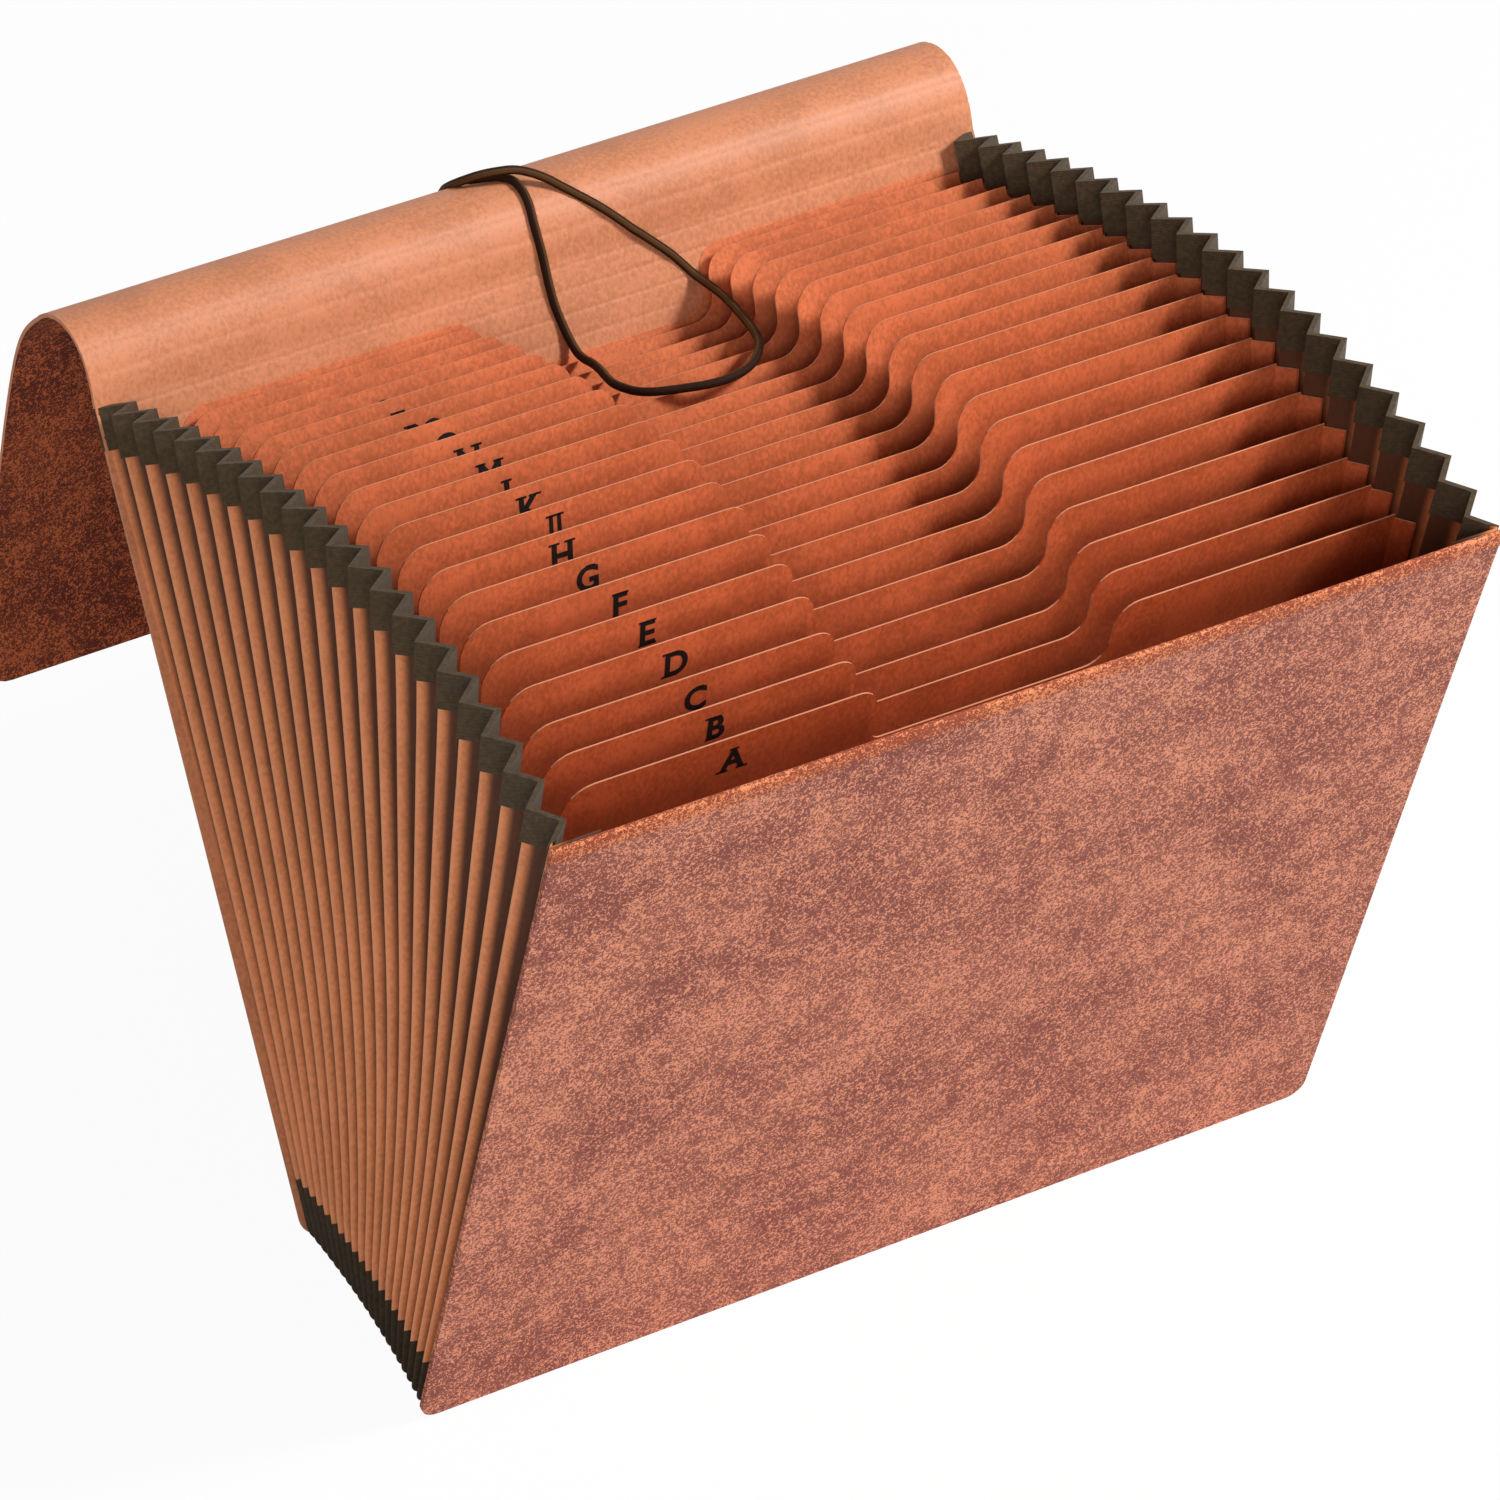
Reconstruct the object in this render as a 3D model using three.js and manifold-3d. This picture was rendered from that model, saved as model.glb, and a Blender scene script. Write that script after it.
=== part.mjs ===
// Expanding file, fanned open and standing on its pleated bottom, with the flap folded back.
// Millimetres, +Z up, X across the covers, -Y towards the front cover.

import * as THREE from 'three';
import { mergeVertices } from 'three/addons/utils/BufferGeometryUtils.js';
import Module from 'manifold-3d';

const wasm = await Module();
wasm.setup();

// Covers
const WIDTH = 305;
const HEIGHT = 254;
const FRONT_BOARD = 1.6;
const BACK_BOARD = 1.3;
const COVER_CORNER = 6;
const HEM_HEIGHT = 5.5;
const HEM_RAISE = 0.35;

// How the file is fanned out: depth of its foot, leans in degrees, and a slight turn and sidestep
const FOOT_DEPTH = 94.3;
const FRONT_LEAN = 18.7;
const BACK_LEAN = 24.3;
const LEAN_EASE = 0.24;
const BACK_TURN = 1.6;
const BACK_STEP = 12.9;
const MIDDLE_STEP = 33.6;

// Pleated gusset
const PLEATS = 21;
const PANEL = 10.5;
const SHEET = 0.4;
const FLANGE = 16;
const PLEAT_CORNER = 6;
const INNER_CORNER = 2;
const SIDE_STEPS = 4;
const CORNER_STEPS = 4;

// Cloth tape over the tops of the side pleats
const TAPE = 0.25;
const TAPE_HEIGHT = 12.5;
const TAPE_START = 0.15;

// Divider leaves
const LEAF_SHEET = 0.5;
const LEAF_HEIGHT = 216;
const FIRST_LEAF_PLEAT = 3;
const LEAF_TOP_FRONT = 229;
const LEAF_TOP_BACK = 245.5;
const LEAF_TOP_FADE = 5;
const LEAF_MARGIN = 7;
const MARGIN_START = 4;
const LEAF_CORNER = 10;
const TAB_DROP = 19.5;
const TAB_LEFT = -129;
const TAB_RIGHT = -29;
const TAB_LEFT_RADIUS = 10;
const TAB_RIGHT_RADIUS = 6;
const TAB_FOOT_RADIUS = 3;
const STEP_UP = 49;
const STEP_RADIUS = 8;
const LAST_LEAF_INSET = 14;

// Flap: points of its plain face behind the back cover's top edge, as seen from the side
const FLAP_PROFILE = [[0, 0], [2.4, 8], [7, 15], [14.5, 19], [24, 18.2], [33.5, 11.8], [43.5, 0], [62, -54],
  [74, -102], [78.5, -137]];
const FLAP_BEND_STEPS = 14;
const FLAP_HANG_STEPS = 6;
const FLAP_CORNER = 8;
const SCORE_DEPTH = 0.35;
const SCORE_WIDTH = 1.2;
const SCORE_PITCH = 7;
const SCORE_COUNT = 4;

// Elastic cord, its eyelet and its knot
const CORD = 2.7;
const CORD_STEPS = 72;
const EYELET_FROM_CREST = 62;
const EYELET_BORE = 6.4;
const EYELET_BARREL = 8;
const EYELET_FLANGE = 12;
const EYELET_RIM = 0.8;
const KNOT = 9;

// Middle of the cord from behind the flap's crest, round over the leaves and back: across, behind and above
// the middle of the back cover's top edge
const CORD_LOOP = [
  [-15.2, 27.7, 18.6], [-14, 23.7, 21.4], [-11.5, 20.7, 23.6], [-7, 17.7, 25], [-0.5, 15.2, 25],
  [6, 11.7, 22.6], [12.4, 7.8, 18.2], [20.8, 2.3, 12], [30.5, -1.3, 3], [40.3, -4.9, -6.1],
  [46.9, -8.5, -13.8], [47.4, -22.8, -14.2], [45.4, -38.4, -14.5], [43, -48.8, -15.2],
  [36.7, -57.8, -14.6], [27.7, -64.3, -13.8], [17.1, -65.8, -13.6], [7.2, -62.5, -14],
  [-1.4, -57.5, -14.9], [-5, -48.1, -16.4], [-1.2, -29, -19.8], [0.8, -16.1, -22.6], [0, -9.9, -16.9],
  [-1.4, -5.9, -8.3], [-1.6, -1.4, 2.7], [-2.1, 2.6, 12.6], [-1.2, 7.2, 17.8], [-0.9, 11.7, 20.4],
  [-1.2, 15.2, 21.4], [-3.2, 19.2, 21.6], [-7, 21.7, 21.3], [-10.3, 24.7, 20.2], [-11.5, 27.7, 18.6],
];

// The same cord from the crest down to the eyelet: distance before the eyelet and height over the flap
const CORD_LIFT = [[46, 2.1], [34, 2.1], [23, 2.1], [15, 3.2], [9, 5.2], [3.5, 6.4], [0, 4.4], [0, 1]];
const CORD_BEHIND = 9;

const GAP = 0.3;
const LEAF_GAP = 0.5;
const COLORS = {
  cover: 0x93594a, gusset: 0xbf7a50, leaf: 0xc8643c, tape: 0x554632, cord: 0x3a2416, eyelet: 0xa98a4c,
};

const degrees = (angle) => THREE.MathUtils.degToRad(angle);

// Plane of the fan at share u of the way from the front cover (0) to the back cover (1)
function frame(u) {
  const turn = degrees(BACK_TURN) * u;
  const eased = u + LEAN_EASE * u * (1 - u);
  const lean = degrees(-FRONT_LEAN + (FRONT_LEAN + BACK_LEAN) * eased);
  const foot = new THREE.Vector3(BACK_STEP * u + MIDDLE_STEP * u * (1 - u), FOOT_DEPTH * u, 0);
  const across = new THREE.Vector3(Math.cos(turn), Math.sin(turn), 0);
  const level = new THREE.Vector3(-Math.sin(turn), Math.cos(turn), 0);
  const up = level.clone().multiplyScalar(Math.sin(lean)).add(new THREE.Vector3(0, 0, Math.cos(lean)));
  const rear = new THREE.Vector3().crossVectors(up, across);
  return { foot, across, level, up, rear, lean };
}

function place(u, x, s) {
  const f = frame(u);
  return f.foot.clone().addScaledVector(f.across, x).addScaledVector(f.up, s);
}

function frameMatrix(u) {
  const f = frame(u);
  return new THREE.Matrix4().makeBasis(f.across, f.up, f.rear.clone().negate()).setPosition(f.foot);
}

// Columns of the U that the gusset runs round: down the left side, along the bottom, up the right side
const COLUMNS = [];
for (let i = 0; i < SIDE_STEPS; i += 1) {
  COLUMNS.push({ side: -1, part: 'side', t: 1 - i / SIDE_STEPS });
}
for (let i = 0; i <= CORNER_STEPS; i += 1) {
  COLUMNS.push({ side: -1, part: 'corner', t: i / CORNER_STEPS });
}
for (let i = CORNER_STEPS; i >= 0; i -= 1) {
  COLUMNS.push({ side: 1, part: 'corner', t: i / CORNER_STEPS });
}
for (let i = SIDE_STEPS - 1; i >= 0; i -= 1) {
  COLUMNS.push({ side: 1, part: 'side', t: 1 - i / SIDE_STEPS });
}

const GUSSET_TOP = HEIGHT - GAP - TAPE;

// Point of the U at a depth inside the cover's edge, as x across and s up from the foot
function rim(depth, column) {
  const radius = Math.max(PLEAT_CORNER - depth, INNER_CORNER);
  const low = depth + radius;
  const wide = WIDTH / 2 - depth;
  if (column.part === 'side') {
    return { x: column.side * wide, s: low + (GUSSET_TOP - low) * column.t };
  }
  const angle = column.t * Math.PI / 2;
  const x = wide - radius + radius * Math.cos(angle);
  return { x: column.side * x, s: low - radius * Math.sin(angle) };
}

// Half pitch of the pleats at a spot, and from it the depth and the slope of a panel
function pleat(u, spot) {
  const step = 0.5 / PLEATS;
  const low = Math.max(u - step, 0);
  const high = Math.min(u + step, 1);
  const rate = place(high, spot.x, spot.s).distanceTo(place(low, spot.x, spot.s)) / (high - low);
  const half = rate / (2 * PLEATS);
  const sine = half / PANEL;
  return { half, sine, depth: PANEL * Math.sqrt(1 - sine * sine), rate };
}

// Middle of the gusset's sheet: a flange, the folds from the front cover to the back, a flange
const FOLDS = 2 * PLEATS;
const MIDDLE = [];

function middleRow(spotOf) {
  MIDDLE.push(COLUMNS.map(spotOf));
}

function flangeSpot(end, depth) {
  return (column) => {
    const edge = rim(0, column);
    const p = pleat(end, edge);
    const hinge = SHEET / 2 / Math.sin(Math.atan2(p.half - GAP - SHEET / 2, p.depth) / 2);
    const spot = rim(depth ?? hinge, column);
    const inset = (GAP + SHEET / 2) / pleat(end, spot).rate;
    return place(end === 0 ? inset : 1 - inset, spot.x, spot.s);
  };
}

function foldSpot(k) {
  return (column) => {
    const edge = rim(k % 2 === 1 ? PANEL : 0, column);
    const p = pleat(k / FOLDS, edge);
    const spot = rim(SHEET / 2 / p.sine + (k % 2 === 1 ? p.depth : 0), column);
    return place(k / FOLDS, spot.x, spot.s);
  };
}

middleRow(flangeSpot(0, FLANGE));
middleRow(flangeSpot(0, null));
for (let k = 1; k < FOLDS; k += 1) {
  middleRow(foldSpot(k));
}
middleRow(flangeSpot(1, null));
middleRow(flangeSpot(1, FLANGE));

// Row of MIDDLE that holds fold k; folds 0 and FOLDS are the hinges of the flanges
const rowOf = (k) => k + 1;

// The pleated sheet moved off its middle by a distance, inwards positive, with mitred folds
function offsetSheet(distance) {
  return MIDDLE.map((row, r) => row.map((point, c) => {
    const along = row[Math.min(c + 1, row.length - 1)].clone().sub(row[Math.max(c - 1, 0)]).normalize();
    const normals = [];
    for (const step of [-1, 1]) {
      const next = MIDDLE[r + step];
      if (next) {
        const panel = next[c].clone().sub(point);
        panel.addScaledVector(along, -panel.dot(along)).normalize();
        normals.push(new THREE.Vector3().crossVectors(along, panel).multiplyScalar(step));
      }
    }
    const [a, b] = [normals[0], normals[normals.length - 1]];
    return point.clone().addScaledVector(a.clone().add(b), distance / (1 + a.dot(b)));
  }));
}

// Point of a row on one side, at share t of the way up its straight part
function sidePoint(sheet, r, side, t) {
  const place01 = Math.min(Math.max((1 - t) * SIDE_STEPS, 0), SIDE_STEPS);
  const step = Math.min(Math.floor(place01), SIDE_STEPS - 1);
  const row = side < 0 ? sheet[r] : [...sheet[r]].reverse();
  return row[step].clone().lerp(row[step + 1], (1 - t) * SIDE_STEPS - step);
}

// A closed body between two grids of points of the same size
function shell(front, back) {
  const rows = front.length;
  const cols = front[0].length;
  const positions = [];
  for (const grid of [front, back]) {
    for (const row of grid) {
      for (const point of row) {
        positions.push(point.x, point.y, point.z);
      }
    }
  }
  const at = (side, r, c) => side * rows * cols + r * cols + c;
  const index = [];
  const quad = (a, b, c, d) => index.push(a, b, c, a, c, d);
  for (let r = 0; r < rows - 1; r += 1) {
    for (let c = 0; c < cols - 1; c += 1) {
      quad(at(0, r, c), at(0, r, c + 1), at(0, r + 1, c + 1), at(0, r + 1, c));
      quad(at(1, r, c), at(1, r + 1, c), at(1, r + 1, c + 1), at(1, r, c + 1));
    }
    quad(at(0, r + 1, 0), at(1, r + 1, 0), at(1, r, 0), at(0, r, 0));
    quad(at(0, r, cols - 1), at(1, r, cols - 1), at(1, r + 1, cols - 1), at(0, r + 1, cols - 1));
  }
  for (let c = 0; c < cols - 1; c += 1) {
    quad(at(0, 0, c), at(1, 0, c), at(1, 0, c + 1), at(0, 0, c + 1));
    quad(at(0, rows - 1, c + 1), at(1, rows - 1, c + 1), at(1, rows - 1, c), at(0, rows - 1, c));
  }
  return faceOut(positions, index);
}

// A closed body through rings; each ring goes along one face of a strip and back along the other
function loft(rings) {
  const count = rings[0].length;
  const positions = rings.flatMap((ring) => ring.flatMap((point) => [point.x, point.y, point.z]));
  const index = [];
  const quad = (a, b, c, d) => index.push(a, b, c, a, c, d);
  for (let r = 0; r < rings.length - 1; r += 1) {
    for (let c = 0; c < count; c += 1) {
      const a = r * count + c;
      const b = r * count + (c + 1) % count;
      quad(a, b, b + count, a + count);
    }
  }
  const last = (rings.length - 1) * count;
  for (let i = 0; i < count / 2 - 1; i += 1) {
    quad(count - 1 - i, count - 2 - i, i + 1, i);
    quad(last + i, last + i + 1, last + count - 2 - i, last + count - 1 - i);
  }
  return faceOut(positions, index);
}

// Turns every face outwards when the body came out inside out
function faceOut(positions, index) {
  let volume = 0;
  const corner = (i) => new THREE.Vector3(positions[3 * i], positions[3 * i + 1], positions[3 * i + 2]);
  for (let i = 0; i < index.length; i += 3) {
    const a = corner(index[i]);
    volume += a.dot(corner(index[i + 1]).cross(corner(index[i + 2])));
  }
  if (volume < 0) {
    for (let i = 0; i < index.length; i += 3) {
      [index[i + 1], index[i + 2]] = [index[i + 2], index[i + 1]];
    }
  }
  const geometry = new THREE.BufferGeometry();
  geometry.setAttribute('position', new THREE.Float32BufferAttribute(positions, 3));
  geometry.setIndex(index);
  return geometry;
}

function toSolid(geometry) {
  const bare = geometry.clone();
  bare.deleteAttribute('normal');
  bare.deleteAttribute('uv');
  const merged = mergeVertices(bare, 1e-4);
  return new wasm.Manifold(new wasm.Mesh({
    numProp: 3,
    vertProperties: new Float32Array(merged.attributes.position.array),
    triVerts: new Uint32Array(merged.index.array),
  }));
}

function toGeometry(solid) {
  const mesh = solid.getMesh();
  const geometry = new THREE.BufferGeometry();
  geometry.setAttribute('position', new THREE.BufferAttribute(new Float32Array(mesh.vertProperties), 3));
  geometry.setIndex(new THREE.BufferAttribute(new Uint32Array(mesh.triVerts), 1));
  return geometry;
}

const file = new THREE.Group();

function add(name, geometry, color, roughness, matrix) {
  geometry.computeVertexNormals();
  const material = new THREE.MeshStandardMaterial({ color, roughness, metalness: 0 });
  const mesh = new THREE.Mesh(geometry, material);
  mesh.name = name;
  if (matrix) {
    matrix.decompose(mesh.position, mesh.quaternion, mesh.scale);
  }
  file.add(mesh);
  return mesh;
}

// Front cover: a board with rounded bottom corners and a turned-over hem along its top edge
function frontCover() {
  const lift = FRONT_BOARD * Math.tan(degrees(FRONT_LEAN));
  const wide = WIDTH / 2;
  const outline = new THREE.Shape();
  outline.moveTo(-wide, HEIGHT - 1);
  outline.lineTo(-wide, lift + COVER_CORNER);
  outline.absarc(-wide + COVER_CORNER, lift + COVER_CORNER, COVER_CORNER, Math.PI, 1.5 * Math.PI);
  outline.absarc(wide - COVER_CORNER, lift + COVER_CORNER, COVER_CORNER, 1.5 * Math.PI, 2 * Math.PI);
  outline.lineTo(wide, HEIGHT - 1);
  const options = { depth: FRONT_BOARD, bevelEnabled: false, curveSegments: 5 };
  const board = new THREE.ExtrudeGeometry(outline, options);
  const half = (FRONT_BOARD + HEM_RAISE) / 2;
  const hem = new THREE.Shape();
  hem.moveTo(0, HEIGHT - HEM_HEIGHT);
  hem.lineTo(2 * half, HEIGHT - HEM_HEIGHT);
  hem.lineTo(2 * half, HEIGHT - half);
  hem.absarc(half, HEIGHT - half, half, 0, Math.PI);
  const roll = new THREE.ExtrudeGeometry(hem, { depth: WIDTH, bevelEnabled: false, curveSegments: 6 });
  roll.applyMatrix4(new THREE.Matrix4().makeBasis(
    new THREE.Vector3(0, 0, 1),
    new THREE.Vector3(0, 1, 0),
    new THREE.Vector3(-1, 0, 0),
  ));
  roll.translate(wide, 0, 0);
  add('front_cover', toGeometry(toSolid(board).add(toSolid(roll))), COLORS.cover, 0.6, frameMatrix(0));
}

// Cloth tape folded over the tops of the pleats of one side
function topTape(side) {
  const rings = [];
  const bottom = 1 - (TAPE_HEIGHT - TAPE - GAP) / (GUSSET_TOP - PANEL);
  const top = (thick) => 1 + (GAP + thick) / (GUSSET_TOP - PANEL);
  const ring = [
    [-1, TAPE, bottom], [-1, TAPE, top(TAPE)], [1, TAPE, top(TAPE)], [1, TAPE, bottom],
    [1, 0, bottom], [1, 0, top(0)], [-1, 0, top(0)], [-1, 0, bottom],
  ].map(([face, thick, t]) => ({ sheet: offsetSheet(face * (SHEET / 2 + GAP + thick)), t }));
  const fold = (k) => ring.map(({ sheet, t }) => sidePoint(sheet, rowOf(k), side, t));
  const end = (k, next) => fold(k).map((point, i) => point.lerp(fold(next)[i], TAPE_START));
  rings.push(end(0, 1));
  for (let k = 1; k < FOLDS; k += 1) {
    rings.push(fold(k));
  }
  rings.push(end(FOLDS, FOLDS - 1));
  return loft(rings);
}

// Outline of a divider leaf: index tab at the left, low middle, high right-hand part
function leafOutline(top, left, right) {
  const low = top - TAB_DROP;
  const bottom = top - LEAF_HEIGHT;
  const outline = new THREE.Shape();
  const arc = (x, y, radius, from, to) => {
    outline.absarc(x, y, radius, from * Math.PI, to * Math.PI, to < from);
  };
  outline.moveTo(left[0].x + LEAF_CORNER, bottom);
  outline.lineTo(right[0].x - LEAF_CORNER, bottom);
  outline.quadraticCurveTo(right[0].x, bottom, right[0].x, right[0].y);
  right.slice(1).forEach((point) => outline.lineTo(point.x, point.y));
  arc(STEP_UP + STEP_RADIUS, top - STEP_RADIUS, STEP_RADIUS, 0.5, 1);
  arc(STEP_UP - STEP_RADIUS, low + STEP_RADIUS, STEP_RADIUS, 0, -0.5);
  arc(TAB_RIGHT + TAB_FOOT_RADIUS, low + TAB_FOOT_RADIUS, TAB_FOOT_RADIUS, -0.5, -1);
  arc(TAB_RIGHT - TAB_RIGHT_RADIUS, top - TAB_RIGHT_RADIUS, TAB_RIGHT_RADIUS, 0, 0.5);
  arc(TAB_LEFT + TAB_LEFT_RADIUS, top - TAB_LEFT_RADIUS, TAB_LEFT_RADIUS, 0.5, 1);
  arc(TAB_LEFT - TAB_FOOT_RADIUS, low + TAB_FOOT_RADIUS, TAB_FOOT_RADIUS, 0, -0.5);
  [...left].reverse().forEach((point) => outline.lineTo(point.x, point.y));
  outline.quadraticCurveTo(left[0].x, bottom, left[0].x + LEAF_CORNER, bottom);
  return outline;
}

function leafPlate(outline) {
  const options = { depth: LEAF_SHEET, bevelEnabled: false, curveSegments: 3 };
  return new THREE.ExtrudeGeometry(outline, options).translate(0, 0, -LEAF_SHEET / 2);
}

// Sheets that the leaves keep to: the face that a margin lies on, its own far face, the tape's clearance
const MARGIN_FACES = [SHEET / 2 + LEAF_GAP, SHEET / 2 + LEAF_GAP + LEAF_SHEET]
  .map((distance) => offsetSheet(distance));
const TAPED_FACE = offsetSheet(SHEET / 2 + GAP + TAPE + LEAF_GAP);

// Heights along a fold between two heights, at the gusset's own steps and at both ends
function sideLevels(low, high) {
  const share = (s) => (s - 2 * PANEL) / (GUSSET_TOP - 2 * PANEL);
  const levels = [share(low)];
  for (let i = 0; i <= SIDE_STEPS; i += 1) {
    const t = i / SIDE_STEPS;
    if (t > share(low) + 0.02 && t < share(high) - 0.02) {
      levels.push(t);
    }
  }
  return [...levels, share(high)];
}

// A sheet's face beside fold k in a leaf's own plane: rear panel, fold, front panel (z forwards)
function faceLine(sheet, k, side, t, toLeaf) {
  return [k + 1, k, k - 1].map((fold) => sidePoint(sheet, rowOf(fold), side, t).applyMatrix4(toLeaf));
}

function cross(line, z) {
  const [rear, fold, front] = line;
  const end = z > fold.z ? front : rear;
  return fold.clone().lerp(end, (z - fold.z) / (end.z - fold.z));
}

// Innermost x of a face over the thickness of a leaf
function clearX(line, side) {
  const half = LEAF_SHEET / 2;
  const spots = [-half, 0, half].map((z) => cross(line, z).x);
  if (Math.abs(line[1].z) < half) {
    spots.push(line[1].x);
  }
  return side * Math.min(...spots.map((x) => side * x));
}

// Edge of a leaf beside the in-fold that carries it, from the bottom up, in the leaf's own plane
function leafEdge(k, side, low, high, toLeaf) {
  const taped = HEIGHT - TAPE_HEIGHT - 2 * GAP;
  const points = sideLevels(low, Math.min(high, taped)).map((t) => {
    const line = faceLine(MARGIN_FACES[0], k, side, t, toLeaf);
    return new THREE.Vector2(clearX(line, side), line[1].y);
  });
  if (high > taped) {
    const x = clearX(faceLine(TAPED_FACE, k, side, 1, toLeaf), side);
    points[points.length - 1].y = taped;
    points.push(new THREE.Vector2(x, taped), new THREE.Vector2(x, high));
  } else {
    points[points.length - 1].y = high;
  }
  return points;
}

// Margin of a leaf, folded round its in-fold onto the panel in front
function leafMargin(k, side, low, high, toLeaf) {
  const rings = sideLevels(low, high).map((t) => {
    const [near, far] = MARGIN_FACES.map((sheet) => {
      const line = faceLine(sheet, k, side, t, toLeaf);
      const start = cross(line, 0);
      const end = line[1].clone().lerp(line[2], LEAF_MARGIN / PANEL);
      const bend = line[1].z > 0.02 ? line[1] : start.clone().lerp(end, 0.3);
      return [start, bend, end];
    });
    return [...near, ...far.reverse()];
  });
  return loft(rings);
}

function dividerLeaves() {
  const title = (number) => `divider_leaf_${String(number).padStart(2, '0')}`;
  let number = 1;
  for (let carrier = FIRST_LEAF_PLEAT; carrier <= PLEATS; carrier += 1) {
    const k = 2 * carrier - 1;
    const fade = Math.max(carrier - FIRST_LEAF_PLEAT - 2, 0) / LEAF_TOP_FADE;
    const top = LEAF_TOP_BACK + (LEAF_TOP_FRONT - LEAF_TOP_BACK) * Math.exp(-fade);
    const low = top - LEAF_HEIGHT + LEAF_CORNER;
    const shoulder = top - TAB_DROP;
    const matrix = frameMatrix(k / FOLDS);
    const toLeaf = matrix.clone().invert();
    const left = leafEdge(k, -1, low, shoulder, toLeaf);
    const right = leafEdge(k, 1, low, top, toLeaf);
    const highest = HEIGHT - TAPE_HEIGHT - 2 * GAP;
    const leaf = toSolid(leafPlate(leafOutline(top, left, right)))
      .add(toSolid(leafMargin(k, -1, low + MARGIN_START, shoulder, toLeaf)))
      .add(toSolid(leafMargin(k, 1, low + MARGIN_START, Math.min(top, highest), toLeaf)));
    add(title(number), toGeometry(leaf), COLORS.leaf, 0.75, matrix);
    number += 1;
  }
  const edge = WIDTH / 2 - LAST_LEAF_INSET;
  const low = LEAF_TOP_BACK - LEAF_HEIGHT + LEAF_CORNER;
  const left = [new THREE.Vector2(-edge, low), new THREE.Vector2(-edge, LEAF_TOP_BACK - TAB_DROP)];
  const right = [new THREE.Vector2(edge, low), new THREE.Vector2(edge, LEAF_TOP_BACK)];
  const plate = leafPlate(leafOutline(LEAF_TOP_BACK, left, right));
  plate.translate(0, 0, 2 * GAP + SHEET + LEAF_SHEET / 2);
  add(title(number), toGeometry(toSolid(plate)), COLORS.leaf, 0.75, frameMatrix(1));
}

// Side profile of the back cover and flap: points of the plain face and of the leather face
function backProfile() {
  const f = frame(1);
  const top = new THREE.Vector2(Math.sin(f.lean), Math.cos(f.lean)).multiplyScalar(HEIGHT);
  const lift = BACK_BOARD * Math.tan(degrees(BACK_LEAN));
  const direction = top.clone().normalize();
  const curve = new THREE.CatmullRomCurve3(
    FLAP_PROFILE.map(([y, z]) => new THREE.Vector3(top.x + y, top.y + z, 0)),
    false,
    'centripetal',
  );
  const flapLength = curve.getLength();
  const crestShare = 0.42;
  const shares = [];
  for (let i = 0; i <= FLAP_BEND_STEPS; i += 1) {
    shares.push(crestShare * i / FLAP_BEND_STEPS);
  }
  for (let i = 1; i < FLAP_HANG_STEPS; i += 1) {
    shares.push(crestShare + (1 - crestShare) * i / FLAP_HANG_STEPS);
  }
  const corner = FLAP_CORNER / flapLength;
  const flat = shares.filter((share) => share < 1 - corner - 0.01).map((share) => ({ share, trim: 0 }));
  for (let i = 0; i <= 5; i += 1) {
    const angle = Math.PI / 2 * i / 5;
    flat.push({ share: 1 - corner * (1 - Math.sin(angle)), trim: FLAP_CORNER * (1 - Math.cos(angle)) });
  }
  const rows = [];
  for (let i = 0; i <= 5; i += 1) {
    const angle = Math.PI / 2 * i / 5;
    const point = direction.clone().multiplyScalar(lift + COVER_CORNER * (1 - Math.cos(angle)));
    rows.push({ point, trim: COVER_CORNER * (1 - Math.sin(angle)), dent: 0 });
  }
  for (let i = SCORE_COUNT; i >= 1; i -= 1) {
    const middle = HEIGHT - 2 - SCORE_PITCH * (i - 1);
    for (const [shift, dent] of [[-1, 0], [0, SCORE_DEPTH], [1, 0]]) {
      const along = middle + shift * SCORE_WIDTH / 2;
      rows.push({ point: direction.clone().multiplyScalar(along), trim: 0, dent });
    }
  }
  for (const { share, trim } of flat) {
    const point = curve.getPointAt(share);
    rows.push({ point: new THREE.Vector2(point.x, point.y), trim, dent: 0 });
  }
  return rows;
}

function backCoverAndFlap() {
  const f = frame(1);
  const rows = backProfile();
  const plain = [];
  const leather = [];
  rows.forEach((row, i) => {
    const before = rows[Math.max(i - 1, 0)].point;
    const after = rows[Math.min(i + 1, rows.length - 1)].point;
    const tangent = after.clone().sub(before).normalize();
    const normal = new THREE.Vector2(tangent.y, -tangent.x);
    const half = WIDTH / 2 - row.trim;
    const lay = (point) => [-half, half].map((x) => f.foot.clone()
      .addScaledVector(f.across, x)
      .addScaledVector(f.level, point.x)
      .add(new THREE.Vector3(0, 0, point.y)));
    plain.push(lay(row.point.clone().addScaledVector(normal, row.dent)));
    leather.push(lay(row.point.clone().addScaledVector(normal, BACK_BOARD)));
  });
  return shell(plain, leather);
}

// Spot on the middle of the flap at a distance behind its crest, with the direction out of its plain face
function flapSpot(distance) {
  const points = backProfile().map((row) => row.point);
  const crest = points.reduce((best, point, i) => (point.y > points[best].y ? i : best), 0);
  let left = distance;
  let i = crest;
  while (left > points[i].distanceTo(points[i + 1])) {
    left -= points[i].distanceTo(points[i + 1]);
    i += 1;
  }
  const tangent = points[i + 1].clone().sub(points[i]).normalize();
  const point = points[i].clone().addScaledVector(tangent, left);
  const f = frame(1);
  const world = (v) => f.level.clone().multiplyScalar(v.x).add(new THREE.Vector3(0, 0, v.y));
  const out = world(new THREE.Vector2(-tangent.y, tangent.x));
  return { origin: f.foot.clone().add(world(point)), out, across: f.across };
}

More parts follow.
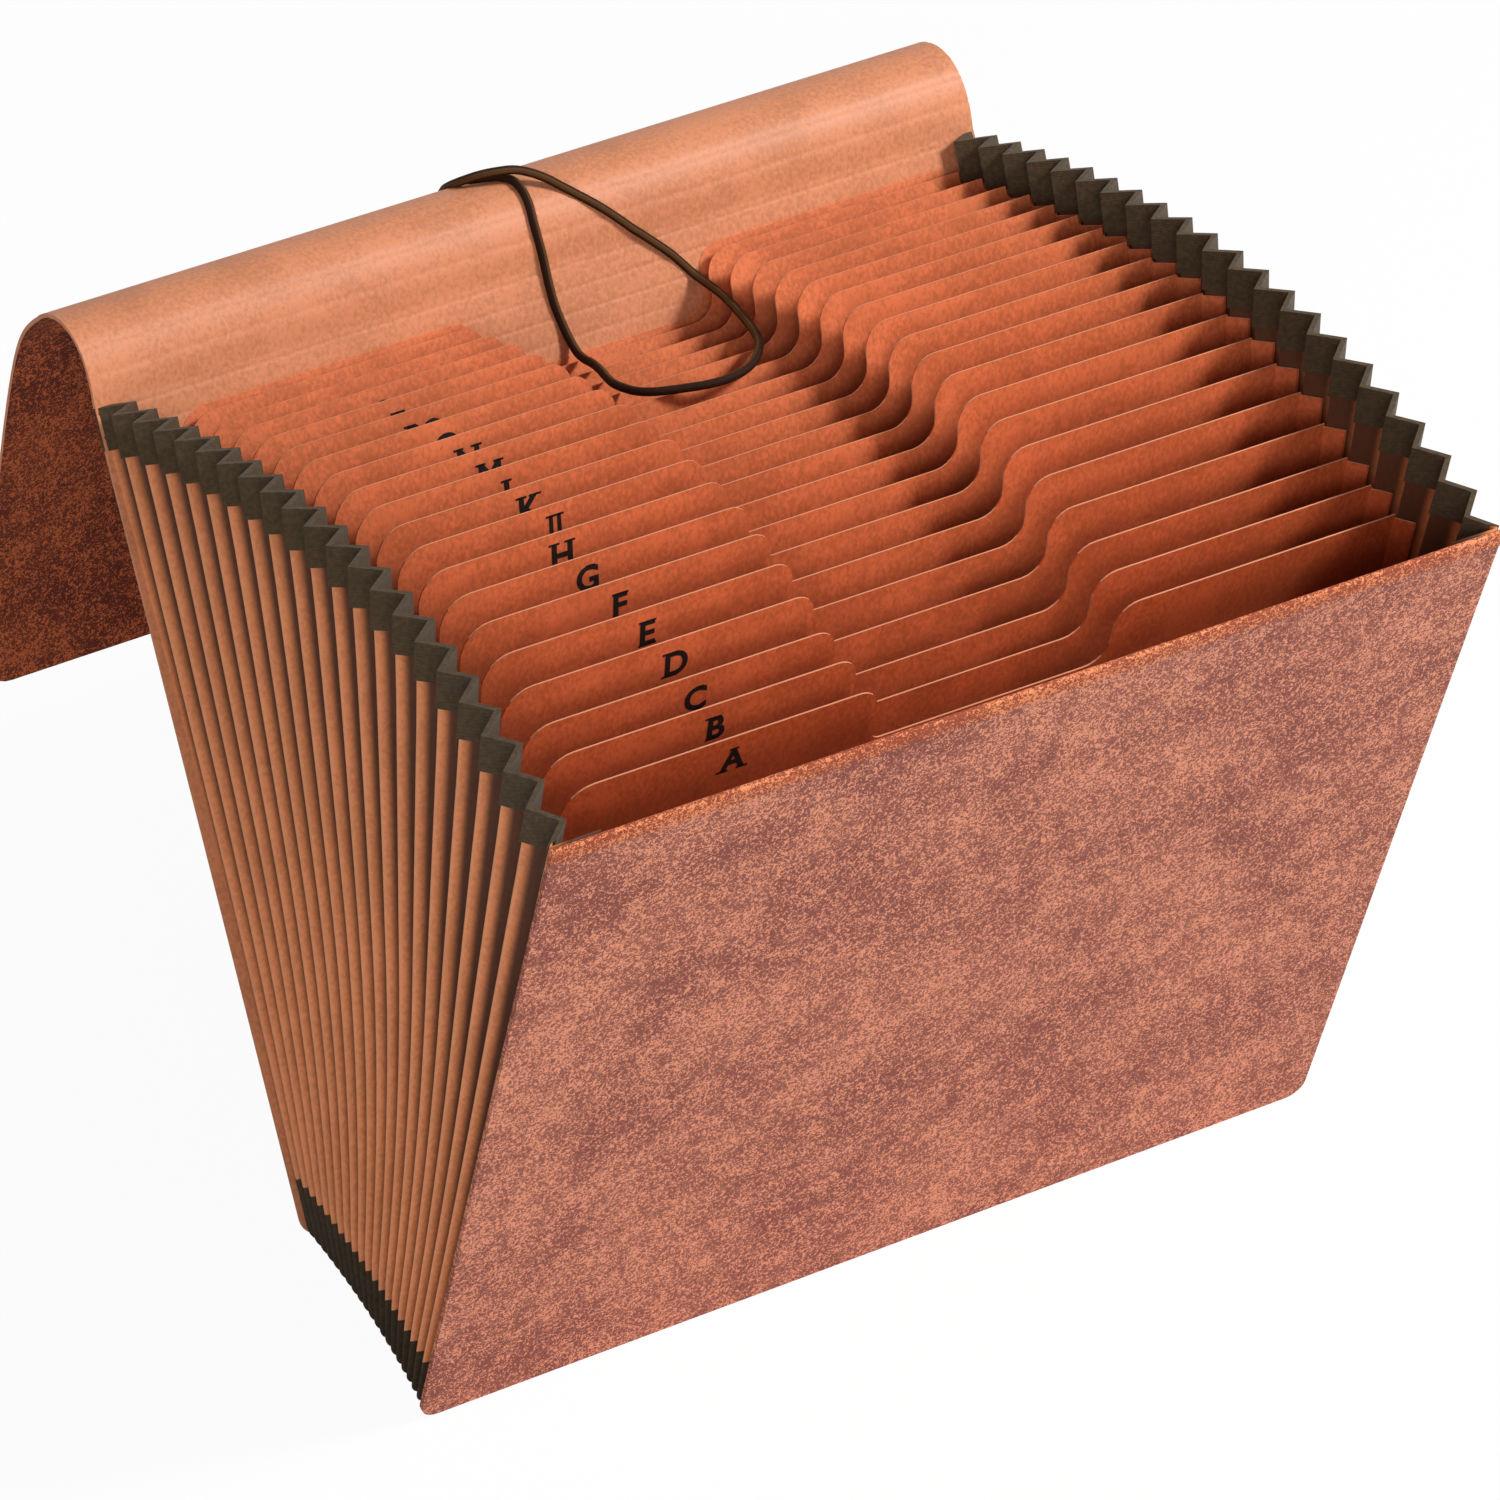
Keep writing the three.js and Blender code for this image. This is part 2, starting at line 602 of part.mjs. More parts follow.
function flapWithEyelet() {
  const spot = flapSpot(EYELET_FROM_CREST);
  const basis = new THREE.Matrix4().makeBasis(spot.across, spot.out, spot.across.clone().cross(spot.out));
  basis.setPosition(spot.origin);
  const hole = new THREE.CylinderGeometry(EYELET_BARREL / 2 + GAP, EYELET_BARREL / 2 + GAP, 8, 24);
  hole.applyMatrix4(basis);
  const flap = toSolid(backCoverAndFlap()).subtract(toSolid(hole));
  add('back_cover_with_flap', toGeometry(flap), COLORS.cover, 0.6);
  const bore = EYELET_BORE / 2;
  const barrel = EYELET_BARREL / 2;
  const wide = EYELET_FLANGE / 2;
  const under = -BACK_BOARD - GAP;
  const spool = [
    [bore, under - EYELET_RIM], [wide, under - EYELET_RIM], [wide, under], [barrel, under], [barrel, GAP],
    [wide, GAP], [wide, GAP + EYELET_RIM], [bore, GAP + EYELET_RIM], [bore, under - EYELET_RIM],
  ].map(([r, y]) => new THREE.Vector2(r, y));
  const ring = new THREE.LatheGeometry(spool, 24);
  add('cord_eyelet', toGeometry(toSolid(ring)), COLORS.eyelet, 0.4, basis);
  const knot = new THREE.SphereGeometry(KNOT / 2, 14, 10);
  knot.scale(1, 0.6, 1);
  knot.translate(0, under - EYELET_RIM - GAP - KNOT * 0.3, 0);
  add('cord_knot', toGeometry(toSolid(knot)), COLORS.cord, 0.8, basis);
}

// Elastic cord: both ends side by side through the eyelet down to the knot, the loop over the leaves
function elasticCord() {
  const edge = frame(1);
  const beside = (CORD + GAP + 0.2) / 2;
  const strand = (side) => {
    const [start] = side < 0 ? CORD_LOOP : CORD_LOOP.slice(-1);
    const points = CORD_LIFT.map(([before, height]) => {
      const spot = flapSpot(EYELET_FROM_CREST - before);
      const share = before / (EYELET_FROM_CREST - CORD_BEHIND);
      const across = side * beside * (1 - share) + start[0] * share;
      return spot.origin.addScaledVector(spot.out, height).addScaledVector(spot.across, across);
    });
    const eyelet = flapSpot(EYELET_FROM_CREST);
    const depth = BACK_BOARD + GAP + EYELET_RIM;
    const end = eyelet.origin.addScaledVector(eyelet.out, -depth);
    points.push(end.addScaledVector(eyelet.across, side * beside));
    return points;
  };
  const loop = CORD_LOOP.map(([x, y, z]) => place(1, x, HEIGHT)
    .addScaledVector(edge.level, y)
    .add(new THREE.Vector3(0, 0, z)));
  const path = new THREE.CatmullRomCurve3([...strand(-1).reverse(), ...loop, ...strand(1)]);
  const section = new THREE.Shape();
  for (let i = 0; i < 8; i += 1) {
    const angle = (i + 0.5) * Math.PI / 4;
    section[i ? 'lineTo' : 'moveTo'](CORD / 2 * Math.cos(angle), CORD / 2 * Math.sin(angle));
  }
  const tube = new THREE.ExtrudeGeometry(section, { steps: CORD_STEPS, extrudePath: path });
  add('elastic_cord', toGeometry(toSolid(tube)), COLORS.cord, 0.8);
}

frontCover();
add('pleated_gusset', shell(offsetSheet(-SHEET / 2), offsetSheet(SHEET / 2)), COLORS.gusset, 0.8);
add('top_tape_left', topTape(-1), COLORS.tape, 0.9);
add('top_tape_right', topTape(1), COLORS.tape, 0.9);
dividerLeaves();
flapWithEyelet();
elasticCord();

// Stand the file with the middle of its foot print at the origin
file.updateMatrixWorld(true);
const box = new THREE.Box3();
for (const mesh of file.children) {
  box.expandByObject(mesh, true);
}
file.position.set(-(box.min.x + box.max.x) / 2, -(box.min.y + box.max.y) / 2, -box.min.z);

export default file;
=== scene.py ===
"""Expanding file, fanned open and standing on its pleated bottom, dressed for a studio picture.

Metres, +Z up, +X to the right along the front cover, -Y towards the front cover.
"""

import math

import bpy
import numpy as np
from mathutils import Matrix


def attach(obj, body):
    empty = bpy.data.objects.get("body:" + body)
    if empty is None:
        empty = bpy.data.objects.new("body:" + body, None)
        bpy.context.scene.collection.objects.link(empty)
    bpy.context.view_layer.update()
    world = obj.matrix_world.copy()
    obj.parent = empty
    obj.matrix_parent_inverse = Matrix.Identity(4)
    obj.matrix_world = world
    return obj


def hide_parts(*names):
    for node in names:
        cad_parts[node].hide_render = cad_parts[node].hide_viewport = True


bl_info = {
    "name": "Expanding file",
    "version": (1, 0, 0),
    "blender": (4, 5, 0),
    "location": "View3D > Sidebar > Expanding file",
    "description": "Papers, cloth tape, cord and lettering of an expanding file, with its studio",
    "category": "Add Mesh",
}

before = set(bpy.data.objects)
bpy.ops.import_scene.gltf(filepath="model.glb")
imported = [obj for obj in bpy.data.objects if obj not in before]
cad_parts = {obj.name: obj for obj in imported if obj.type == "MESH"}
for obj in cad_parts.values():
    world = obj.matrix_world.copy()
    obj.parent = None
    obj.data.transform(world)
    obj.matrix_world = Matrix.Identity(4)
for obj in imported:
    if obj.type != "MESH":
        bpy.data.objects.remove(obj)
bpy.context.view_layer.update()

MM = 0.001

# The fan that the file is opened into, in millimetres and degrees
WIDTH = 305
HEIGHT = 254
BACK_BOARD = 1.3
FOOT_DEPTH = 94.3
FRONT_LEAN = 18.7
BACK_LEAN = 24.3
LEAN_EASE = 0.24
BACK_TURN = 1.6
BACK_STEP = 12.9
MIDDLE_STEP = 33.6
PLEATS = 21
PANEL = 10.5
GAP = 0.3
GUSSET_SHEET = 0.4
FLANGE = 16
SHIFT = np.array([-7.9854, -99.1438, 0.0184])

# Leaves: the first one's pleat and the heights of the index tabs above the foot
FIRST_LEAF_PLEAT = 3
LEAF_TOP_FRONT = 229
LEAF_TOP_BACK = 245.5
LEAF_TOP_FADE = 5
LEAF_SHEET = 0.5
LAST_LEAF_OFFSET = 1.25
TAB_DROP = 19.5
TAB_RIGHT = -29
TAB_SLOPE = 3
STEP_UP = 49
STEP_SLOPE = 11
LETTERS = ["A", "B", "C", "D", "E", "F", "G", "H", "IJ", "K",
           "L", "M", "N", "O", "PQ", "R", "S", "T", "UV", "WXYZ"]
LETTER_SHIFTS = [3.3, 4.4, 4.3, 4.6, 2, 0, -3.6, -4.8, 0, -1]
RAISED_LETTERS = range(6, 10)
INK_ABOVE = 0.08

# Flap: its plain face behind the back cover's top edge, from the side
FLAP_PROFILE = [[0, 0], [2.4, 8], [7, 15], [14.5, 19], [24, 18.2], [33.5, 11.8], [43.5, 0], [62, -54],
                [74, -102], [78.5, -137]]
FLAP_CORNER = 8
COVER_CORNER = 6
HEM_DEPTH = 5.6
SCORE_COUNT = 4
SCORE_DEPTH = 0.2
SCORE_WIDTH = 1.2
SCORE_PITCH = 7
BENDS = [9, 17, 25, 34, 44]
BEND_DEPTH = 0.16
BEND_WIDTH = 0.9

# Eyelet in the flap, on the plain side, with its directions across and out, and the knot behind it: its
# place, the size of its loops, and how much of the cord's thickness the pull leaves
EYELET = np.array([0.479, 153.958, 202.999])
EYELET_ACROSS = np.array([0.99961, 0.02792, 0.0])
EYELET_OUT = np.array([-0.02668, 0.95521, 0.29474])
EYELET_BARREL = 8
KNOT_BELOW = 5.4
KNOT_SPREAD = 2.3
KNOT_SWING = 0.95
KNOT_THICKNESS = 1.15
CORD_SIDES = 14
CORD_RINGS = 420
KNOT_SIDES = 12
KNOT_RINGS = 120
KNOT_TIGHTNESS = 0.94
KNOT_STEP = 0.0004

# Middle line of the elastic cord, from the knot round the leaves and back to the knot
CORD_ROUTE = [
    [-1.1, 151.6, 202.3], [-1.1, 156.6, 203.6], [-2, 159, 207.5], [-3.1, 157, 212],
    [-4.3, 153.9, 216], [-5.4, 151, 220.1], [-6.6, 148.6, 224.5], [-7.8, 146.3, 228.9],
    [-8.9, 144, 233.4], [-10.1, 141.2, 237.5], [-11.3, 137.8, 241.3], [-12.4, 134.2, 244.8],
    [-13.5, 130.2, 247.8], [-13.9, 126, 250.8], [-12.1, 122.1, 253.6], [-8.7, 119, 255.7],
    [-4.2, 116.6, 256.7], [0.7, 115, 256.6], [5.2, 112.8, 255.3], [9.3, 110.6, 253.2],
    [13.1, 108.4, 250.5], [16.8, 106.1, 247.9], [20.6, 103.7, 245.2], [24.3, 101.8, 242.2],
    [28, 100.6, 238.8], [31.6, 99.5, 235.3], [35.4, 98.3, 232], [39.1, 97.1, 228.6],
    [42.7, 95.8, 225.2], [46, 94.8, 221.4], [49, 92.6, 217.8], [50.1, 87.8, 216.9],
    [50.1, 82.6, 217.2], [50, 77.5, 217.3], [49.7, 72.3, 217.2], [49.1, 67.2, 217.1],
    [48.4, 62.1, 217], [47.7, 57, 216.6], [46.3, 52, 216.3], [43.9, 47.5, 216.5],
    [40.8, 43.4, 216.9], [37.1, 39.8, 217.2], [32.9, 36.8, 217.6], [28.1, 35, 217.8],
    [23, 34.3, 217.9], [17.9, 34.8, 217.9], [13, 36.5, 217.6], [8.3, 38.4, 217.3],
    [3.7, 40.8, 216.9], [0.4, 44.6, 216.2], [-1.3, 49.4, 215.5], [-1.7, 54.4, 214.6],
    [-0.9, 59.5, 213.7], [0.3, 64.5, 212.9], [1.4, 69.5, 211.9], [2.2, 74.3, 210.7],
    [2.9, 79.3, 209.2], [3.2, 84.3, 209.2], [2.7, 88.1, 212.4], [1.9, 91, 216.7], [1, 92.9, 221.3],
    [0.6, 94.9, 226.1], [0.5, 96.9, 230.9], [0.4, 98.7, 235.6], [0, 100.5, 240.5],
    [-0.1, 102.8, 245.1], [0.5, 106.3, 248.9], [0.8, 110.6, 251.6], [0.2, 115.4, 253],
    [-2.8, 119.6, 253.1], [-7.1, 122.3, 252.5], [-10.1, 126, 250.7], [-9.9, 130.3, 247.9],
    [-8.8, 134.2, 244.8], [-7.7, 137.9, 241.4], [-6.6, 141.2, 237.6], [-5.5, 144.1, 233.5],
    [-4.3, 146.4, 229], [-3.2, 148.7, 224.5], [-2, 151.1, 220.1], [-0.9, 154, 216],
    [0.1, 157.1, 212], [1.2, 159.1, 207.5], [2, 156.7, 203.6], [2.1, 151.7, 202.3],
]

# Studio: the camera's place and lens in millimetres and its angles in degrees; each lamp's place and size
# in metres and its power in watts; the floor in metres
CAMERA_PLACE = [-972.28, -1514.35, 1343.79]
CAMERA_DOWN = 33.03
CAMERA_ROUND = 31.58
CAMERA_LENS = 183.71
LAMPS = {"key": ((1.45, -0.95, 1.75), 0.5, 47), "fill": ((-1.3, -2.1, 1.0), 1.2, 20)}
LAMPS_AIM = (0, 0, 0.12)
FLOOR_HALF = 6
FLOOR_BELOW = 0.0004
WORLD_STRENGTH = 0.17
WHITE = (1.0, 1.0, 1.0)


def linear(hexcode):
    """Linear colour of a hex code: each sRGB channel c becomes c / 12.92 where it is low and
    ((c + 0.055) / 1.055) ^ 2.4 above that."""
    channels = np.array([int(hexcode[i:i + 2], 16) for i in (0, 2, 4)]) / 255
    low = channels / 12.92
    high = ((channels + 0.055) / 1.055) ** 2.4
    return tuple(np.where(channels <= 0.04045, low, high))


def metres(name, description, default):
    """A length for the panel."""
    return bpy.props.FloatProperty(
        name=name, description=description, default=default, subtype="DISTANCE", unit="LENGTH")


def tint(name, description, default):
    """A linear colour for the panel."""
    return bpy.props.FloatVectorProperty(
        name=name, description=description, default=default, subtype="COLOR", min=0, max=1)


class FileSizes(bpy.types.PropertyGroup):
    """Sizes of the dressed pieces."""

    cord_diameter: metres("Cord diameter", "Thickness of the elastic cord", 0.0027)
    letter_height: metres("Letter height", "Height of the index letters", 0.0083)
    letter_across: metres("Letter place", "Middle of the letters, from the file's middle", -0.078)
    letter_drop: metres("Letter drop", "Middle of the letters below the top of the tab", 0.0083)
    corner_tape: metres("Corner tape", "Height of the cloth round the bottom corners", 0.020)


class FileColours(bpy.types.PropertyGroup):
    """Colours of the papers, cloth and cord."""

    print_ground: tint("Print ground", "Ground of the leather-grain print", linear("864338"))
    print_fleck: tint("Print flecks", "Flecks of the leather-grain print", linear("EA9672"))
    plain: tint("Plain side", "Plain side of the covers and the flap", linear("D88A60"))
    gusset: tint("Gusset", "Paper of the pleated gusset", linear("DE8652"))
    leaf_front: tint("Front leaves", "Paper of the leaves near the front", linear("DC6230"))
    leaf_rear: tint("Rear leaves", "Paper of the leaves near the back", linear("E27C4C"))
    # The paper's light cut edge, partly painted highlight on the leaves' edges, and the painted highlight
    # on the gusset's out-folds.
    cut_edge_and_fold_highlight: tint("Cut edge", "Light cut edge of the paper", linear("EFAE88"))
    tape: tint("Tape", "Cloth tape on the pleats", linear("4A3924"))
    cord: tint("Cord", "Braided cover of the cord", linear("33190C"))
    floor: tint("Floor", "Floor of the studio", (0.9, 0.9, 0.9))


class Number:
    """A number on its way through a material; arithmetic on it adds Math nodes."""

    def __init__(self, recipe, socket):
        self.recipe = recipe
        self.socket = socket

    def math(self, operation, *others):
        inputs = {i + 1: other for i, other in enumerate(others)}
        return self.recipe.add("ShaderNodeMath", {"operation": operation}, {0: self, **inputs})

    def __add__(self, other):
        return self.math("ADD", other)

    def __sub__(self, other):
        return self.math("SUBTRACT", other)

    def __mul__(self, other):
        return self.math("MULTIPLY", other)

    def __truediv__(self, other):
        return self.math("DIVIDE", other)

    def __rsub__(self, other):
        return (self * -1).math("ADD", other)

    __radd__ = __add__
    __rmul__ = __mul__

    def between(self, low, high):
        """0 below low, 1 above high, an eased step in between."""
        return self.recipe.add("ShaderNodeMapRange", {"interpolation_type": "SMOOTHSTEP"}, {
            0: self, 1: low, 2: high, 3: 0.0, 4: 1.0})


class Nodes:
    """A node tree under construction."""

    def __init__(self, tree):
        self.tree = tree

    def add(self, kind, settings, inputs, output=0):
        """A node with its settings made first, then the values or links of its sockets."""
        node = self.tree.nodes.new(kind)
        for key, value in settings.items():
            setattr(node, key, value)
        for key, value in inputs.items():
            self.plug(node.inputs[key], value)
        return Number(self, node.outputs[output])

    def plug(self, socket, value):
        """Links a Number to the socket or sets the socket to a plain value."""
        if isinstance(value, Number):
            self.tree.links.new(value.socket, socket)
        elif hasattr(value, "__len__") and len(value) == 3 and len(socket.default_value) == 4:
            socket.default_value = (*value, 1)
        else:
            socket.default_value = value


class Recipe(Nodes):
    """A material under construction, with patterns on Object coordinates."""

    def __init__(self, name):
        self.material = bpy.data.materials.new(name)
        self.material.use_nodes = True
        super().__init__(self.material.node_tree)
        self.surface = self.tree.nodes["Principled BSDF"]
        self.point = self.add("ShaderNodeTexCoord", {}, {}, "Object")

    def noise(self, scale, detail=2.0, distortion=0.0, stretch=(1, 1, 1)):
        point = self.add("ShaderNodeMapping", {}, {0: self.point, 3: stretch})
        inputs = {"Vector": point, "Scale": scale, "Detail": detail, "Distortion": distortion}
        return self.add("ShaderNodeTexNoise", {}, inputs)

    def mix(self, share, first, second):
        """Colour between the first one at share 0 and the second one at share 1."""
        return self.add("ShaderNodeMix", {"data_type": "RGBA"}, {0: share, 6: first, 7: second}, 2)

    def part(self, vector, axis):
        """One of the three numbers of a vector."""
        return self.add("ShaderNodeSeparateXYZ", {}, {0: vector}, axis)

    def finish(self, colour, roughness, height=None, strength=0.3, distance=0.0002,
               sheen=0.0, metallic=0.0, specular=0.35):
        """Plugs what the surface needs, with a bump from the height, and gives the material."""
        self.plug(self.surface.inputs["Base Color"], colour)
        self.plug(self.surface.inputs["Roughness"], roughness)
        self.surface.inputs["Metallic"].default_value = metallic
        self.surface.inputs["Specular IOR Level"].default_value = specular
        self.surface.inputs["Sheen Weight"].default_value = sheen
        if height is not None:
            bump = self.add("ShaderNodeBump", {}, {
                "Strength": strength, "Distance": distance, "Height": height})
            self.plug(self.surface.inputs["Normal"], bump)
        return self.material


def shaded(colour, share):
    """The colour with each channel times the share."""
    return tuple(c * share for c in colour)


def grain_print(recipe, ground, fleck):
    """Leather-grain print: small maze-like flecks where a fine noise rises over a limit, which soft
    clouds of two sizes lower and raise, so the flecks gather and thin out."""
    clouds = recipe.noise(30, 3, 0.3)
    small = recipe.noise(130, 2)
    fine = recipe.noise(1060, 1.2, 1.3)
    limit = 0.53 - (clouds - 0.5) * 0.16 - (small - 0.5) * 0.26
    flecks = (fine - limit).between(-0.02, 0.03)
    tone = recipe.mix(clouds.between(0.3, 0.7) * 0.12, ground, fleck)
    return recipe.mix(flecks * 0.95, tone, fleck), flecks


def paper_tone(recipe, colour, depth=0.1):
    """Kraft paper: the colour from a little darker to a little lighter by soft clouds and fine
    fibres. Gives the fibres too, for the bump."""
    clouds = recipe.noise(35, 3, 0.4)
    fibres = recipe.noise(800, 2, 0.4, (1, 1, 0.7))
    share = (clouds * 0.45 + fibres * 0.55).between(0.36, 0.64)
    dark = shaded(colour, 1 - depth)
    light = tuple(min(1, c * (1 + depth) + 0.01) for c in colour)
    return recipe.mix(share, dark, light), fibres


def facing(recipe):
    """Direction that the surface faces."""
    return recipe.add("ShaderNodeNewGeometry", {}, {}, "Normal")


def cover_print_material(colours):
    """Front cover: print outside, plain paper inside and a brighter printed hem along the top."""
    recipe = Recipe("cover_print")
    printed, curls = grain_print(recipe, colours.print_ground, colours.print_fleck)
    hem = recipe.mix(curls, linear("9A4222"), linear("EE8E5A"))
    hem_from = (HEIGHT - HEM_DEPTH) * math.cos(math.radians(FRONT_LEAN)) * MM
    in_hem = recipe.part(recipe.point, 2).between(hem_from - 0.3 * MM, hem_from + 0.3 * MM)
    outside = recipe.mix(in_hem, printed, hem)
    plain, _ = paper_tone(recipe, colours.plain)
    inward = recipe.part(facing(recipe), 1).between(0.3, 0.5) * (1 - in_hem)
    colour = recipe.mix(inward, outside, plain)
    return recipe.finish(colour, curls * -0.12 + 0.6, curls, 0.25, 0.0001)


def flap_print_material(colours):
    """Outside of the flap and the back cover: the same print, darker and redder as painted shade."""
    recipe = Recipe("flap_print")
    # Painted shade: the print's ground and flecks are darkened, blue and green the most, so the flap and
    # back cover look shaded.
    ground = tuple(c * share for c, share in zip(colours.print_ground, (0.5, 0.38, 0.3)))
    fleck = tuple(c * share for c, share in zip(colours.print_fleck, (0.78, 0.52, 0.3)))
    printed, curls = grain_print(recipe, ground, fleck)
    return recipe.finish(printed, curls * -0.12 + 0.6, curls, 0.25, 0.0001)


def plain_board_material(colours):
    """Plain side of the flap and the back cover."""
    recipe = Recipe("plain_board")
    colour, fibres = paper_tone(recipe, colours.plain, 0.13)
    return recipe.finish(colour, fibres * 0.12 + 0.42, fibres, 0.2, 0.0001)


def linen(recipe, colour):
    """Book cloth: two crossed sets of fine threads that brighten and darken the colour. Gives the
    weave too, for the bump."""
    threads = {"Vector": recipe.point, "Scale": 620.0, "Distortion": 4.0, "Detail": 2.0,
               "Detail Scale": 3.0}
    bands = {"wave_type": "BANDS"}
    upright, slanted = (
        recipe.add("ShaderNodeTexWave", {**bands, "bands_direction": direction}, threads, 1)
        for direction in ("Z", "DIAGONAL"))
    weave = (upright + slanted) * 0.5
    patches = recipe.noise(700, 3).between(0.3, 0.75)
    share = weave * 0.4 + patches * 0.6
    return recipe.mix(share, shaded(colour, 0.62), shaded(colour, 1.5)), weave


def tape_material(colours):
    """Cloth of the tapes on the pleats."""
    recipe = Recipe("tape_cloth")
    colour, weave = linen(recipe, colours.tape)
    return recipe.finish(colour, 0.85, weave, 0.6, 0.0002, sheen=0.1)


def gusset_material(colours, sizes):
    """Pleated paper with a painted highlight along the out-folds and painted shade down in the pleats,
    with the dark cloth round both bottom corners. Attribute fold_depth is 0 on an out-fold and 1 on an
    in-fold."""
    recipe = Recipe("gusset_paper")
    paper, fibres = paper_tone(recipe, colours.gusset, 0.12)
    cloth, weave = linen(recipe, shaded(colours.tape, 0.6))
    height = recipe.part(recipe.point, 2)
    ragged = recipe.noise(500, 1) * 0.0006
    low = 1 - (height + ragged).between(sizes.corner_tape, sizes.corner_tape + 0.0004)
    across = recipe.part(recipe.point, 0)
    corners = (across - 0.004).math("ABSOLUTE").between(0.122, 0.1225)
    taped = low * corners
    depth = recipe.add("ShaderNodeAttribute", {"attribute_name": "fold_depth"}, {}, "Fac")
    # Painted highlight: lighter along the out-folds.
    crease = 1 - depth.between(0.0, 0.12)
    paper = recipe.mix(crease * 0.4, paper, colours.cut_edge_and_fold_highlight)
    colour = recipe.mix(taped, paper, cloth)
    # Painted shade: dark down in the pleats, towards the in-folds.
    colour = recipe.mix(depth.between(0.08, 0.42) * 0.9, colour, linear("30140A"))
    return recipe.finish(colour, 0.72, recipe.mix(taped, fibres, weave), 0.3, 0.0002)


def leaf_material(colours, number):
    """Leaf paper, lighter towards the back, with light cut edges that are partly the paper's own light
    edge and partly painted highlight. Painted shade darkens it down from its own top edge, where the leaf
    in front shades it; that edge is lower by TAB_DROP between the tab and the step up. The height up the
    leaf is z / cos(lean), and the way along it is measured from the middle of its foot."""
    share = ((number - 1) / (len(LETTERS) - 1)) ** 0.8
    tone = tuple(a + (b - a) * share for a, b in zip(colours.leaf_front, colours.leaf_rear))
    recipe = Recipe(f"leaf_paper_{number:02d}")
    u, top, _ = leaf_place(number - 1)
    foot, across, _, up, _ = fan(u)
    height = recipe.part(recipe.point, 2) / (up[2] * MM)
    along = (recipe.part(recipe.point, 0) / MM - foot[0]) * across[0] + (
        recipe.part(recipe.point, 1) / MM - foot[1]) * across[1]
    past_tab = along.between(TAB_RIGHT - TAB_SLOPE, TAB_RIGHT + TAB_SLOPE)
    low = past_tab * (1 - along.between(STEP_UP - STEP_SLOPE, STEP_UP + STEP_SLOPE))
    below = top - low * TAB_DROP - height
    paper, fibres = paper_tone(recipe, tone, 0.17)
    blotches = recipe.noise(90, 4, 0.5).between(0.35, 0.7)
    paper = recipe.mix(blotches * 0.22, paper, shaded(tone, 0.55))
    # Painted shade: darker below the leaf's own top edge, where the leaf in front shades it.
    paper = recipe.mix(below.between(3, 17) * 0.42, paper, shaded(tone, 0.16))
    # Light cut edges facing up and sideways: the paper's light edge, partly painted highlight.
    normal = facing(recipe)
    edge = recipe.part(normal, 2).between(0.6, 0.75).math(
        "MAXIMUM", recipe.part(normal, 0).math("ABSOLUTE").between(0.95, 0.985))
    return recipe.finish(recipe.mix(edge * 0.7, paper, colours.cut_edge_and_fold_highlight), 0.7, fibres, 0.25, 0.00015)


def leaf_place(i):
    """Share of the fan, height of the tab's top and forward offset of the printed face of leaf i."""
    if i == len(LETTERS) - 1:
        return 1, LEAF_TOP_BACK, LAST_LEAF_OFFSET + LEAF_SHEET / 2
    top = LEAF_TOP_BACK + (LEAF_TOP_FRONT - LEAF_TOP_BACK) * math.exp(-max(i - 2, 0) / LEAF_TOP_FADE)
    return (2 * (FIRST_LEAF_PLEAT + i) - 1) / (2 * PLEATS), top, LEAF_SHEET / 2


def cord_material(colours):
    """Braided cover: strands that cross, from the product of two slanted sine waves on the cord's own
    map, and one lighter strand along it."""
    recipe = Recipe("cord_cover")
    uv = recipe.add("ShaderNodeUVMap", {"uv_map": "along"}, {})
    around = recipe.part(uv, 0)
    along = recipe.part(uv, 1)
    left = ((around * 6 + along * 900) * math.tau).math("SINE")
    right = ((around * 6 - along * 900) * math.tau).math("SINE")
    strands = (left * right) * 0.5 + 0.5
    stripe = (around - 0.42).math("ABSOLUTE").math("LESS_THAN", 0.11)
    tone = recipe.mix(stripe * 0.8, colours.cord, linear("7A5430"))
    dark = recipe.mix(strands, linear("1A0E08"), tone)
    return recipe.finish(recipe.mix(0.75, tone, dark), 0.7, strands, 0.5, 0.0002, specular=0.12)


def brass_material():
    """Brass of the eyelet, with darker, rougher stains."""
    recipe = Recipe("eyelet_brass")
    stains = recipe.noise(500, 3)
    colour = recipe.mix(stains.between(0.4, 0.7), linear("B8954C"), linear("8E6E38"))
    return recipe.finish(colour, stains * 0.25 + 0.22, stains, 0.1, 0.0001, metallic=1.0)


def ink_material():
    """Nearly black printing ink of the letters."""
    recipe = Recipe("index_ink")
    mottle = recipe.noise(900, 2)
    colour = recipe.mix(mottle, linear("0C0807"), linear("1E1512"))
    return recipe.finish(colour, 0.6, mottle, 0.05, 0.0001)


def fan(u):
    """Plane of the fan at share u: its foot in millimetres, and its directions across, level, up and
    rear. The turn grows with u, and the lean runs from the front cover's to the back cover's as
    u + ease * u * (1 - u)."""
    turn = math.radians(BACK_TURN) * u
    lean = math.radians(-FRONT_LEAN + (FRONT_LEAN + BACK_LEAN) * (u + LEAN_EASE * u * (1 - u)))
    foot = np.array([BACK_STEP * u + MIDDLE_STEP * u * (1 - u), FOOT_DEPTH * u, 0]) + SHIFT
    across = np.array([math.cos(turn), math.sin(turn), 0])
    level = np.array([-math.sin(turn), math.cos(turn), 0])
    up = level * math.sin(lean) + np.array([0, 0, math.cos(lean)])
    return foot, across, level, up, np.cross(up, across)


